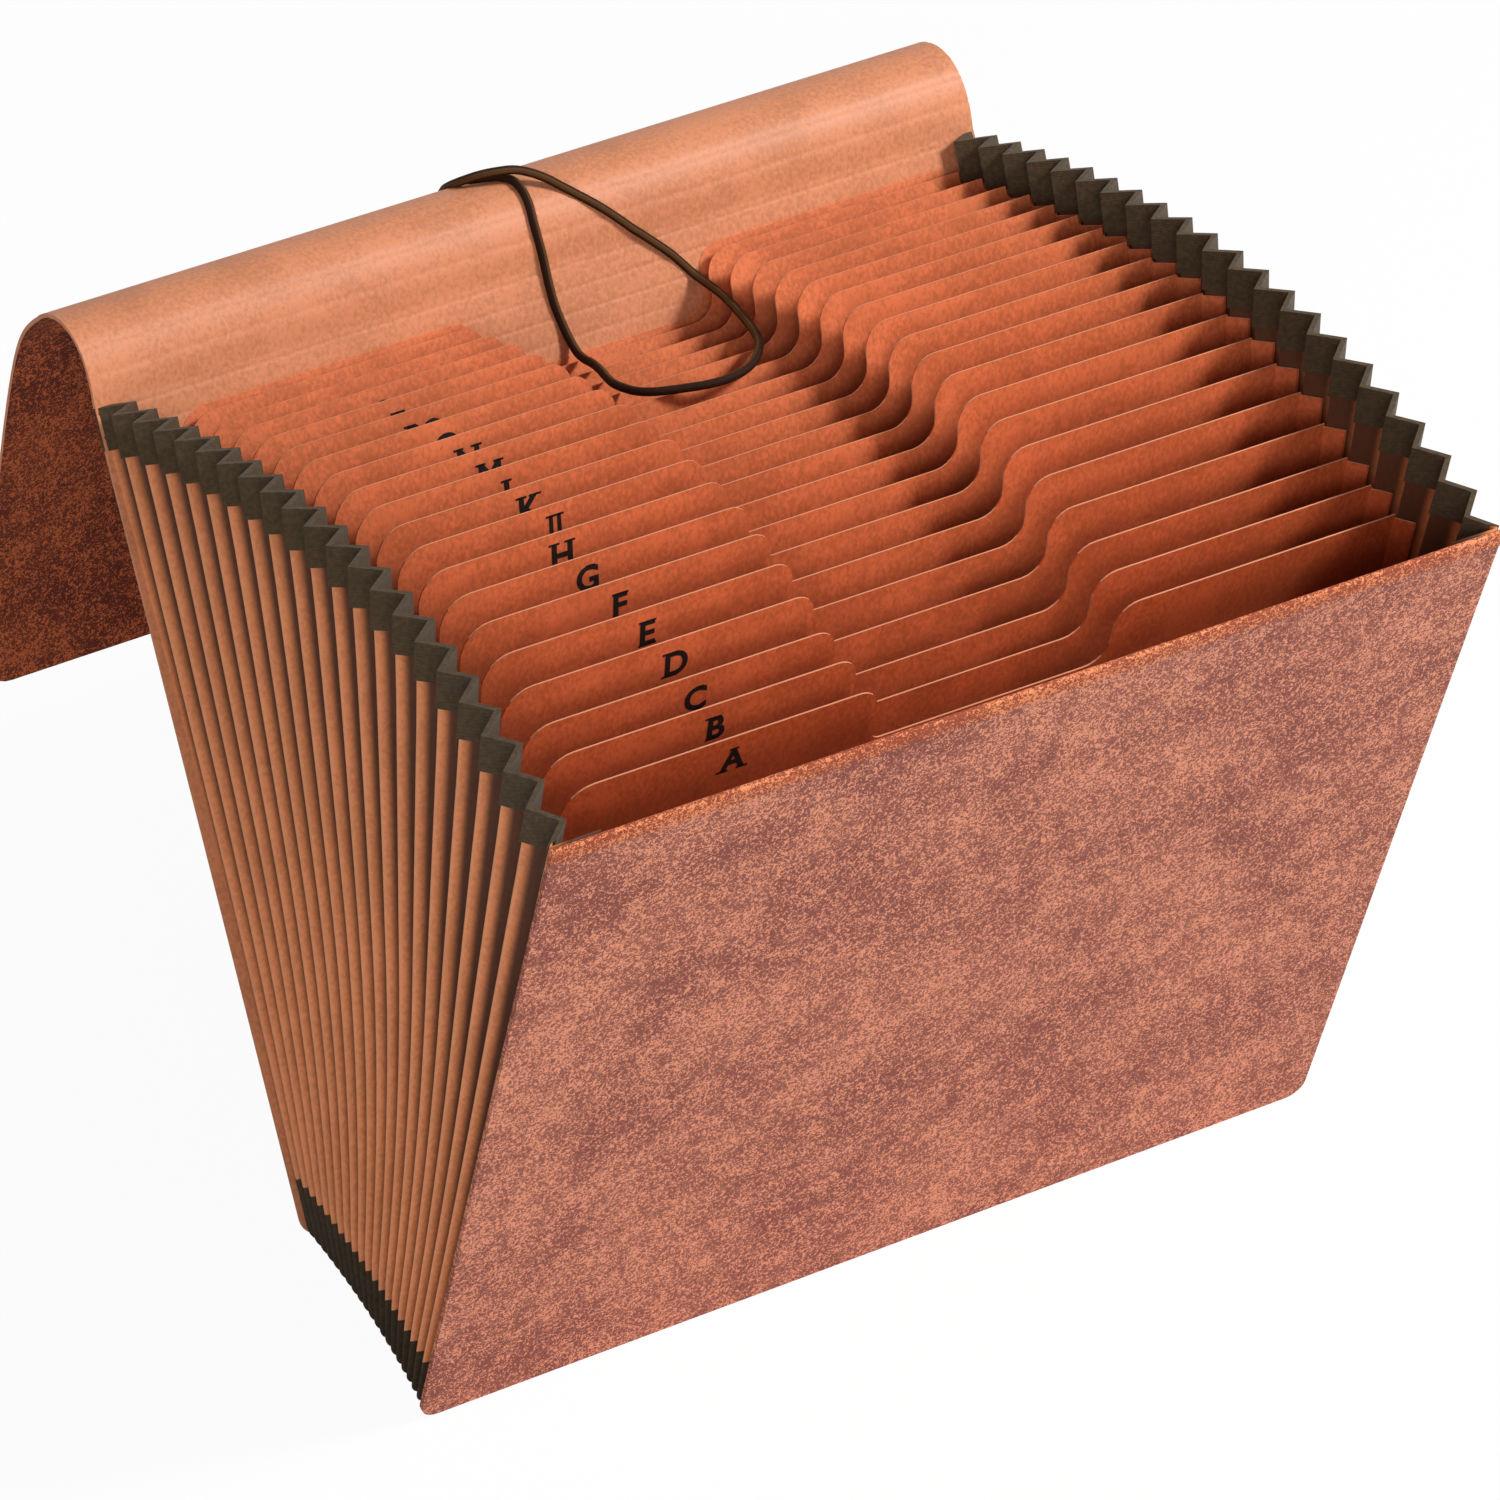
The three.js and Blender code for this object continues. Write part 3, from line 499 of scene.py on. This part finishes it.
def smooth_line(points, count):
    """Centripetal spline through the points: a cubic on each span whose end slopes weigh the
    neighbouring spans by the square root of their lengths. Gives it at that many even steps, or at the
    given distances along it, and its whole length."""
    p = np.asarray(points, float)
    p = np.vstack([2 * p[0] - p[1], p, 2 * p[-1] - p[-2]])
    a, b, c, d = p[:-3], p[1:-2], p[2:-1], p[3:]
    root = [np.sqrt(np.linalg.norm(y - x, axis=1))[:, None] for x, y in ((a, b), (b, c), (c, d))]
    first = ((b - a) / root[0] - (c - a) / (root[0] + root[1]) + (c - b) / root[1]) * root[1]
    last = ((c - b) / root[1] - (d - b) / (root[1] + root[2]) + (d - c) / root[2]) * root[1]
    t = np.linspace(0, 1, 60, endpoint=False)[None, :, None]
    b, c, first, last = (x[:, None, :] for x in (b, c, first, last))
    line = (b * (2 * t**3 - 3 * t**2 + 1) + first * (t**3 - 2 * t**2 + t)
            + c * (3 * t**2 - 2 * t**3) + last * (t**3 - t**2)).reshape(-1, p.shape[1])
    line = np.vstack([line, p[-2]])
    reach = np.concatenate([[0], np.cumsum(np.linalg.norm(np.diff(line, axis=0), axis=1))])
    at = np.linspace(0, reach[-1], count) if np.isscalar(count) else np.clip(count, 0, reach[-1])
    return np.stack([np.interp(at, reach, line[:, i]) for i in range(p.shape[1])], 1), reach[-1]


def make_piece(name, points, faces, materials, smooth=True):
    """Puts a mesh with its place in its points into the scene and lets it ride on the file."""
    mesh = bpy.data.meshes.new(name)
    mesh.from_pydata(points.tolist(), [], [[int(corner) for corner in face] for face in faces])
    for material in materials:
        mesh.materials.append(material)
    mesh.polygons.foreach_set("use_smooth", np.full(len(mesh.polygons), smooth))
    mesh.update()
    piece = bpy.data.objects.new(name, mesh)
    bpy.context.scene.collection.objects.link(piece)
    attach(piece, "root")
    return piece


def grid_faces(rows, columns):
    """Quads of a grid of points, row by row."""
    index = np.arange(rows * columns).reshape(rows, columns)
    corners = [index[:-1, :-1], index[:-1, 1:], index[1:, 1:], index[1:, :-1]]
    return np.stack(corners, -1).reshape(-1, 4)


def tube(line, radius, sides, closed):
    """Circle of the radius carried along the line; each ring's first direction is the last one's, made
    square to the line again."""
    tangent = np.gradient(line, axis=0)
    if closed:
        tangent = np.roll(line, -1, 0) - np.roll(line, 1, 0)
    tangent /= np.linalg.norm(tangent, axis=1)[:, None]
    side = np.zeros_like(line)
    current = np.cross(tangent[0], [0.3, 0.1, 1.0])
    for i, direction in enumerate(tangent):
        current = current - direction * (current @ direction)
        current /= np.linalg.norm(current)
        side[i] = current
    other = np.cross(tangent, side)
    angle = np.linspace(0, 2 * np.pi, sides, endpoint=False)
    cosine, sine = np.cos(angle)[None, :, None], np.sin(angle)[None, :, None]
    return line[:, None] + (cosine * side[:, None] + sine * other[:, None]) * radius


def tube_faces(rings, sides, closed):
    """Quads of a tube's rings, with the last ring joined to the first one where the tube is closed."""
    ring = np.arange(rings if closed else rings - 1)[:, None]
    side = np.arange(sides)[None, :]
    here, after = ring * sides, (ring + 1) % rings * sides
    aside = (side + 1) % sides
    return np.stack([here + side, here + aside, after + aside, after + side], -1).reshape(-1, 4)


def braid(name, line, radius, sides, closed, step, cover):
    """Tube of cord along the line as a piece of its own, with a UV map for the braid: u goes once
    round it, and v goes up by the step, in metres of cord, from ring to ring."""
    faces = tube_faces(len(line), sides, closed)
    piece = make_piece(name, tube(line, radius, sides, closed).reshape(-1, 3), faces, [cover])
    along, around = np.divmod(np.arange(len(faces)), sides)
    u = np.stack([around, around + 1, around + 1, around], -1) / sides
    v = np.stack([along, along, along + 1, along + 1], -1) * step
    uv = piece.data.uv_layers.new(name="along")
    uv.data.foreach_set("uv", np.stack([u, v], -1).astype(np.float32).ravel())
    return piece


def rounded(reach, radius):
    """How far a rounded corner stands back from the side at the distance reach from the end:
    r - sqrt(r^2 - (r - reach)^2) within the radius and 0 past it."""
    return radius - np.sqrt(radius**2 - (radius - reach).clip(0, radius) ** 2)


def flap_grid():
    """Points of the plain face of the back cover and its flap: across the file by distance from the
    bottom edge, straight up the cover and on along the spline of the flap. Scored grooves and bends
    sink into it as exp(-((reach - line) / width) ^ 2), and the corners are rounded."""
    foot, across, level, up, _ = fan(1)
    lean = math.asin(float(up @ level))
    lift = BACK_BOARD * math.tan(math.radians(BACK_LEAN))
    top = np.array([math.sin(lean), math.cos(lean)]) * HEIGHT
    _, flap_length = smooth_line(FLAP_PROFILE, 2)
    cover = np.unique(np.concatenate([
        lift + COVER_CORNER * (1 - np.cos(np.linspace(0, np.pi / 2, 7))),
        np.linspace(lift + COVER_CORNER, HEIGHT - 40, 18), np.arange(HEIGHT - 40, HEIGHT, 0.6)]))
    flap = np.unique(np.concatenate([
        np.arange(0, 52, 0.6), np.arange(52, flap_length - FLAP_CORNER, 1.2),
        flap_length - FLAP_CORNER * (1 - np.sin(np.linspace(0, np.pi / 2, 7)))]))
    curve, _ = smooth_line(FLAP_PROFILE, flap)
    straight = cover[:, None] * np.array([math.sin(lean), math.cos(lean)])
    profile = np.vstack([straight, top + curve])
    reach = np.concatenate([cover, HEIGHT + flap])
    tangent = np.gradient(profile, axis=0)
    tangent /= np.linalg.norm(tangent, axis=1)[:, None]
    inward = np.stack([tangent[:, 1], -tangent[:, 0]], 1)
    scores = HEIGHT - 2 - SCORE_PITCH * np.arange(SCORE_COUNT)
    bends = HEIGHT + np.array(BENDS)
    groove = np.exp(-((reach[:, None] - scores) / (SCORE_WIDTH / 2.6)) ** 2).max(1) * SCORE_DEPTH
    crease = np.exp(-((reach[:, None] - bends) / BEND_WIDTH) ** 2).max(1) * BEND_DEPTH
    profile = profile + inward * (groove + crease)[:, None]
    trim = rounded(reach - lift, COVER_CORNER) + rounded(HEIGHT + flap_length - reach, FLAP_CORNER)
    near_eyelet = np.arange(-9, 9.1, 0.9) / (WIDTH / 2)
    columns = np.unique(np.concatenate([np.linspace(-1, 1, 49), near_eyelet]))
    x = columns[None, :] * (WIDTH / 2 - trim)[:, None]
    return (foot + x[..., None] * across + profile[:, None, :1] * level
            + profile[:, None, 1:] * np.array([0, 0, 1.0]))


def cut_hole(points, faces):
    """Leaves out the faces round the cord's eyelet: those whose middle is no further from its axis than
    the barrel's radius and half a millimetre, and no further than 6 mm along it."""
    middle = points.reshape(-1, 3)[faces].mean(1) - EYELET
    out = middle @ EYELET_OUT
    flat = middle - out[:, None] * EYELET_OUT
    inside = (np.linalg.norm(flat, axis=1) < EYELET_BARREL / 2 + 0.5) & (abs(out) < 6)
    return faces[~inside]


def dress(node, material):
    """Gives a node one material."""
    node.data.materials.clear()
    node.data.materials.append(material)


class FILE_OT_covers(bpy.types.Operator):
    """Dress the front cover and make the back cover with its folded-back flap as one smooth board."""

    bl_idname = "expanding_file.covers"
    bl_label = "Covers and flap"

    def execute(self, context):
        colours = context.scene.file_colours
        dress(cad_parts["front_cover"], cover_print_material(colours))
        points = flap_grid()
        faces = cut_hole(points, grid_faces(*points.shape[:2]))
        piece = make_piece("back_cover_and_flap_board", points.reshape(-1, 3) * MM, faces,
                           [plain_board_material(colours), flap_print_material(colours)])
        board = piece.modifiers.new("board", "SOLIDIFY")
        board.thickness = BACK_BOARD * MM
        board.offset = 1.0
        board.use_even_offset = True
        board.material_offset = 1
        context.view_layer.objects.active = piece
        bpy.ops.object.modifier_apply(modifier=board.name)
        piece.data.set_sharp_from_angle(angle=math.radians(50))
        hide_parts("back_cover_with_flap")
        return {"FINISHED"}


def gusset_columns():
    """Columns of the U that the gusset runs round, from the top left to the top right: the side, 1 on
    the straight part or 0 on the corner, share up the straight part and angle round the corner."""
    down = np.concatenate([np.linspace(0, 0.07, 4)[:-1], np.linspace(0.07, 1, 24)])
    half = [(1, 1 - t, 0.0) for t in down] + [(0, 0.0, a) for a in np.linspace(0, np.pi / 2, 8)[1:]]
    return np.array([(-1, *column) for column in half] + [(1, *column) for column in half[::-1]])


def gusset_grid():
    """Middle of the pleated sheet, and how deep in the pleats each of its lines is. Fold k of 42 lies
    at share k / 42 of the fan; its spot in that plane is the cover's rounded outline moved inwards by
    the depth of the pleat, panel * sqrt(1 - (half / panel) ^ 2), where half is the distance there from
    one fold's plane to the next. A flange at each end lies on its cover. Each fold is a short curve of
    three points, sharp under the tapes and soft below them."""
    sign, straight, share, angle = gusset_columns().T
    folds = 2 * PLEATS
    top = HEIGHT - GAP - 0.25

    def rim(depth):
        """Places across and up a plane of the fan, on the outline moved inwards by the depth."""
        radius = np.maximum(COVER_CORNER - depth, 2)
        low, wide = depth + radius, WIDTH / 2 - depth
        x = np.where(straight > 0, wide, wide - radius + radius * np.cos(angle))
        s = np.where(straight > 0, low + (top - low) * share, low - radius * np.sin(angle))
        return sign * x, s

    def place(u, x, s):
        """Points of the plane at share u of the fan."""
        foot, across, _, up, _ = fan(u)
        return foot + x[:, None] * across + s[:, None] * up

    def spacing(u, depth):
        """Rate at which the planes of the fan move apart there, by their share of the fan."""
        x, s = rim(depth)
        low, high = max(u - 0.5 / PLEATS, 0), min(u + 0.5 / PLEATS, 1)
        return np.linalg.norm(place(high, x, s) - place(low, x, s), axis=1) / (high - low)

    def flange(end):
        """The flange's outer fold and its inner edge, half the sheet and a gap away from the cover."""
        rate = spacing(end, 0)
        half = rate / folds
        rise = np.arctan2(half - GAP - GUSSET_SHEET / 2, np.sqrt(PANEL**2 - half**2))
        u = abs(end - float((GAP + GUSSET_SHEET / 2) / rate.mean()))
        return [place(u, *rim(depth)) for depth in (GUSSET_SHEET / 2 / np.sin(rise / 2), FLANGE)]

    def fold(k):
        """Fold k, out at the rim where k is even and in by the depth of the pleat where it is odd."""
        inward = k % 2
        sine = spacing(k / folds, PANEL * inward) / folds / PANEL
        return place(k / folds, *rim(GUSSET_SHEET / 2 / sine + inward * PANEL * np.sqrt(1 - sine**2)))

    p = np.array(flange(0)[::-1] + [fold(k) for k in range(1, folds)] + flange(1))
    depths = [1.0, 0.0] + [float(k % 2) for k in range(1, folds)] + [0.0, 1.0]
    down = np.where(straight > 0, 1 - share, 1.0)
    turn = 0.45 * np.clip((down - 0.055) / 0.03, 0, 1)[None, :, None]
    before, after = p[:-2] - p[1:-1], p[2:] - p[1:-1]
    before /= np.linalg.norm(before, axis=2)[..., None]
    after /= np.linalg.norm(after, axis=2)[..., None]
    near, far = p[1:-1] + before * turn, p[1:-1] + after * turn
    middle = 0.25 * near + 0.5 * p[1:-1] + 0.25 * far
    lines, tones = [p[0]], [1.0]
    for i in range(len(p) - 2):
        lines += [near[i], middle[i], far[i]]
        tones += [depths[i + 1]] * 3
        if i < len(p) - 3:
            for part in (0.25, 0.5, 0.75):
                lines.append(far[i] + (near[i + 1] - far[i]) * part)
                tones.append(depths[i + 1] + (depths[i + 2] - depths[i + 1]) * part)
    lines = np.array(lines + [p[-1]])
    straighten_left_foot(lines, np.clip(1.15 - share * 2.2, 0, 1) * (sign < 0))
    return lines, np.array(tones + [1.0])


def straighten_left_foot(lines, low):
    """Moves the lines back across the file near the left foot by most of MIDDLE_STEP * u * (1 - u),
    the fan's own sidestep, because the photograph shows a nearly straight row of pleats there."""
    u = np.linspace(0, 1, len(lines))[:, None]
    lines[..., 0] -= MIDDLE_STEP * u * (1 - u) * low**2 * 0.8


class FILE_OT_gusset(bpy.types.Operator):
    """Make the pleated gusset as one folded sheet and give the tapes their cloth."""

    bl_idname = "expanding_file.gusset"
    bl_label = "Gusset and tapes"

    def execute(self, context):
        colours = context.scene.file_colours
        points, tones = gusset_grid()
        faces = grid_faces(*points.shape[:2])[:, ::-1]
        piece = make_piece("gusset_folded", points.reshape(-1, 3) * MM, faces,
                           [gusset_material(colours, context.scene.file_sizes)])
        tone = piece.data.attributes.new("fold_depth", "FLOAT", "POINT")
        tone.data.foreach_set("value", np.repeat(tones, points.shape[1]).astype(np.float32))
        sheet = piece.modifiers.new("sheet", "SOLIDIFY")
        sheet.thickness = GUSSET_SHEET * MM
        sheet.offset = 0.0
        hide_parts("pleated_gusset")
        cloth = tape_material(colours)
        for name in ("top_tape_left", "top_tape_right"):
            dress(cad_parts[name], cloth)
        return {"FINISHED"}


class FILE_OT_leaves(bpy.types.Operator):
    """Give each divider leaf its paper."""

    bl_idname = "expanding_file.leaves"
    bl_label = "Divider leaves"

    def execute(self, context):
        colours = context.scene.file_colours
        for number in range(1, len(LETTERS) + 1):
            dress(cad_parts[f"divider_leaf_{number:02d}"], leaf_material(colours, number))
        return {"FINISHED"}


def letter_outline(text, height):
    """Flat mesh of a bold index letter in millimetres, centred, with a slab on each flat end of a
    stroke. On a wide end the slab reaches less far past it."""
    curve = bpy.data.curves.new("letter", "FONT")
    curve.body = text
    curve.offset = 0.03
    curve.space_character = 1.15
    curve.resolution_u = 6
    holder = bpy.data.objects.new("letter", curve)
    bpy.context.scene.collection.objects.link(holder)
    bpy.context.view_layer.update()
    mesh = bpy.data.meshes.new_from_object(holder)
    points = np.zeros(len(mesh.vertices) * 3)
    mesh.vertices.foreach_get("co", points)
    points = points.reshape(-1, 3)[:, :2]
    faces = [list(polygon.vertices) for polygon in mesh.polygons]
    bpy.data.objects.remove(holder)
    bpy.data.curves.remove(curve)
    bpy.data.meshes.remove(mesh)
    low, high = points.min(0), points.max(0)
    scale = height / (high[1] - low[1])
    points = (points - (low + high) / 2) * scale
    for end in (-height / 2, height / 2):
        for left, right in flat_ends(points, faces, end):
            reach = (0.12 if right - left < 0.45 * height else 0.05) * height
            far = end - math.copysign(0.085 * height, end)
            left, right = left - reach, right + reach
            slab = [[left, end], [right, end], [right, far], [left, far]]
            faces.append(list(range(len(points), len(points) + 4)))
            points = np.vstack([points, slab])
    points[:, 0] *= 0.95
    return points, faces


def flat_ends(points, faces, end):
    """Runs of the outline that lie flat at a height: its edges that belong to one face, joined end to
    end. A run of more than two edges is the top of a curve and gets no slab."""
    seen = {}
    for face in faces:
        for edge in map(frozenset, zip(face, face[1:] + face[:1])):
            seen[edge] = seen.get(edge, 0) + 1
    near = 0.024 * abs(end)
    outline = [points[list(edge)] for edge, count in seen.items() if count == 1]
    runs = sorted(sorted(edge[:, 0]) for edge in outline if (abs(edge[:, 1] - end) < near).all())
    joined = []
    for left, right in runs:
        if joined and left <= joined[-1][1] + 0.02:
            joined[-1][1] = max(joined[-1][1], right)
        else:
            joined.append([left, right])
    return [(low, high) for low, high in joined if high - low > 0.1 * abs(end)
            and sum(low - 0.01 <= left and right <= high + 0.01 for left, right in runs) <= 2]


class FILE_OT_letters(bpy.types.Operator):
    """Print the index letters on the tabs."""

    bl_idname = "expanding_file.letters"
    bl_label = "Index letters"

    def execute(self, context):
        sizes = context.scene.file_sizes
        ink = ink_material()
        for i, text in enumerate(LETTERS):
            u, top, forward = leaf_place(i)
            foot, across, _, up, rear = fan(u)
            flat, faces = letter_outline(text, sizes.letter_height / MM)
            shift = LETTER_SHIFTS[i] if i < len(LETTER_SHIFTS) else 0
            raised = 1 if i in RAISED_LETTERS else 0
            middle = (foot + across * (sizes.letter_across / MM + shift)
                      + up * (top + raised - sizes.letter_drop / MM) - rear * (forward + INK_ABOVE))
            points = middle + flat[:, :1] * across + flat[:, 1:] * up
            make_piece(f"index_{text}", points * MM, faces, [ink], smooth=False)
        return {"FINISHED"}


class FILE_OT_cord(bpy.types.Operator):
    """Make the elastic cord and its knot behind the flap, and give the eyelet its brass."""

    bl_idname = "expanding_file.cord"
    bl_label = "Elastic cord"

    def execute(self, context):
        sizes, colours = context.scene.file_sizes, context.scene.file_colours
        cover = cord_material(colours)
        line, length = smooth_line(np.array(CORD_ROUTE, float) * MM, CORD_RINGS)
        piece = braid("elastic_cord_braid", line, sizes.cord_diameter / 2, CORD_SIDES, False,
                      length / (len(line) - 1), cover)
        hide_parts("elastic_cord")
        knot = self.knot(sizes, cover)
        dress(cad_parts["cord_eyelet"], brass_material())
        return {"FINISHED"}

    def knot(self, sizes, cover):
        """Overhand knot: a trefoil line, twice round and three times in and out, against the printed
        side of the flap."""
        t = np.linspace(0, 2 * np.pi, KNOT_RINGS, endpoint=False)[:, None]
        spread = KNOT_SPREAD + KNOT_SWING * np.cos(3 * t)
        flat = np.cos(2 * t) * EYELET_ACROSS + np.sin(2 * t) * np.cross(EYELET_ACROSS, EYELET_OUT)
        line = (EYELET - EYELET_OUT * KNOT_BELOW + spread * flat
                + KNOT_THICKNESS * np.sin(3 * t) * EYELET_OUT) * MM
        radius = sizes.cord_diameter / 2 * KNOT_TIGHTNESS
        piece = braid("cord_knot_tied", line, radius, KNOT_SIDES, True, KNOT_STEP, cover)
        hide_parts("cord_knot")
        return piece


class FILE_OT_studio(bpy.types.Operator):
    """Make the pale floor, the soft lights, the white background and the camera."""

    bl_idname = "expanding_file.studio"
    bl_label = "Studio"

    def execute(self, context):
        scene = context.scene
        camera = bpy.data.objects.new("camera", bpy.data.cameras.new("camera"))
        scene.collection.objects.link(camera)
        camera.location = (np.array(CAMERA_PLACE) + SHIFT) * MM
        camera.rotation_euler = (math.radians(90 - CAMERA_DOWN), 0, math.radians(-CAMERA_ROUND))
        camera.data.lens = CAMERA_LENS
        camera.data.sensor_width = 36
        camera.data.clip_end = 50
        scene.camera = camera
        self.floor(scene)
        for name, (place, size, power) in LAMPS.items():
            self.lamp(scene, name, place, size, power)
        self.world(scene)
        scene.view_settings.view_transform = "Standard"
        return {"FINISHED"}

    def lamp(self, scene, name, place, size, power):
        """Square lamp that shines along its own -Z: turned about Z, then tilted, towards the file."""
        light = bpy.data.lights.new(name, "AREA")
        light.shape = "SQUARE"
        light.size = size
        light.energy = power
        lamp = bpy.data.objects.new(name, light)
        lamp.location = place
        aim = np.array(LAMPS_AIM) - np.array(place)
        tilt = math.atan2(math.hypot(aim[0], aim[1]), -aim[2])
        lamp.rotation_euler = (tilt, 0, math.atan2(-aim[0], aim[1]))
        scene.collection.objects.link(lamp)

    def floor(self, scene):
        """Square floor that takes the file's shadow. The camera sees mostly its own white light, so the
        shadow stays faint, as on a picture cut out on white."""
        mesh = bpy.data.meshes.new("floor")
        corners = [(x * FLOOR_HALF, y * FLOOR_HALF, -FLOOR_BELOW)
                   for x, y in ((-1, -1), (1, -1), (1, 1), (-1, 1))]
        mesh.from_pydata(corners, [], [(0, 1, 2, 3)])
        floor = bpy.data.objects.new("floor", mesh)
        scene.collection.objects.link(floor)
        recipe = Recipe("studio_floor")
        recipe.finish(scene.file_colours.floor, 0.9)
        seen = recipe.add("ShaderNodeLightPath", {}, {}, "Is Camera Ray")
        white = recipe.add("ShaderNodeEmission", {}, {"Color": WHITE, "Strength": 1.01})
        lit = Number(recipe, recipe.surface.outputs[0])
        both = recipe.add("ShaderNodeMixShader", {}, {0: seen * 0.94, 1: lit, 2: white})
        recipe.plug(recipe.tree.nodes["Material Output"].inputs["Surface"], both)
        mesh.materials.append(recipe.material)

    def world(self, scene):
        """Even light from all round, and plain white where the camera or a reflection looks past the
        file."""
        world = scene.world or bpy.data.worlds.new("studio")
        scene.world = world
        world.use_nodes = True
        world.node_tree.nodes.clear()
        nodes = Nodes(world.node_tree)
        camera, glossy, through = (
            nodes.add("ShaderNodeLightPath", {}, {}, f"Is {ray} Ray")
            for ray in ("Camera", "Glossy", "Transmission"))
        shown = camera.math("MAXIMUM", glossy).math("MAXIMUM", through)
        light = nodes.add("ShaderNodeBackground", {}, {0: WHITE, 1: WORLD_STRENGTH})
        white = nodes.add("ShaderNodeBackground", {}, {0: WHITE, 1: 1.0})
        mix = nodes.add("ShaderNodeMixShader", {}, {0: shown, 1: light, 2: white})
        nodes.plug(nodes.tree.nodes.new("ShaderNodeOutputWorld").inputs[0], mix)


PIECES = [FILE_OT_studio, FILE_OT_cord, FILE_OT_covers, FILE_OT_gusset, FILE_OT_leaves,
          FILE_OT_letters]


class FILE_PT_panel(bpy.types.Panel):
    """Sizes, colours and pieces of the expanding file."""

    bl_label = "Expanding file"
    bl_idname = "FILE_PT_panel"
    bl_space_type = "VIEW_3D"
    bl_region_type = "UI"
    bl_category = "Expanding file"

    def draw(self, context):
        for group in (context.scene.file_sizes, context.scene.file_colours):
            box = self.layout.box()
            for key in group.__annotations__:
                box.prop(group, key)
        for piece in PIECES:
            self.layout.operator(piece.bl_idname)


CLASSES = [FileSizes, FileColours, *PIECES, FILE_PT_panel]


def register():
    for item in CLASSES:
        bpy.utils.register_class(item)
    bpy.types.Scene.file_sizes = bpy.props.PointerProperty(type=FileSizes)
    bpy.types.Scene.file_colours = bpy.props.PointerProperty(type=FileColours)


def unregister():
    del bpy.types.Scene.file_sizes
    del bpy.types.Scene.file_colours
    for item in reversed(CLASSES):
        bpy.utils.unregister_class(item)


def main():
    register()
    for piece in PIECES:
        group, name = piece.bl_idname.split(".")
        getattr(getattr(bpy.ops, group), name)()
    bpy.context.view_layer.update()


if __name__ == "__main__":
    main()
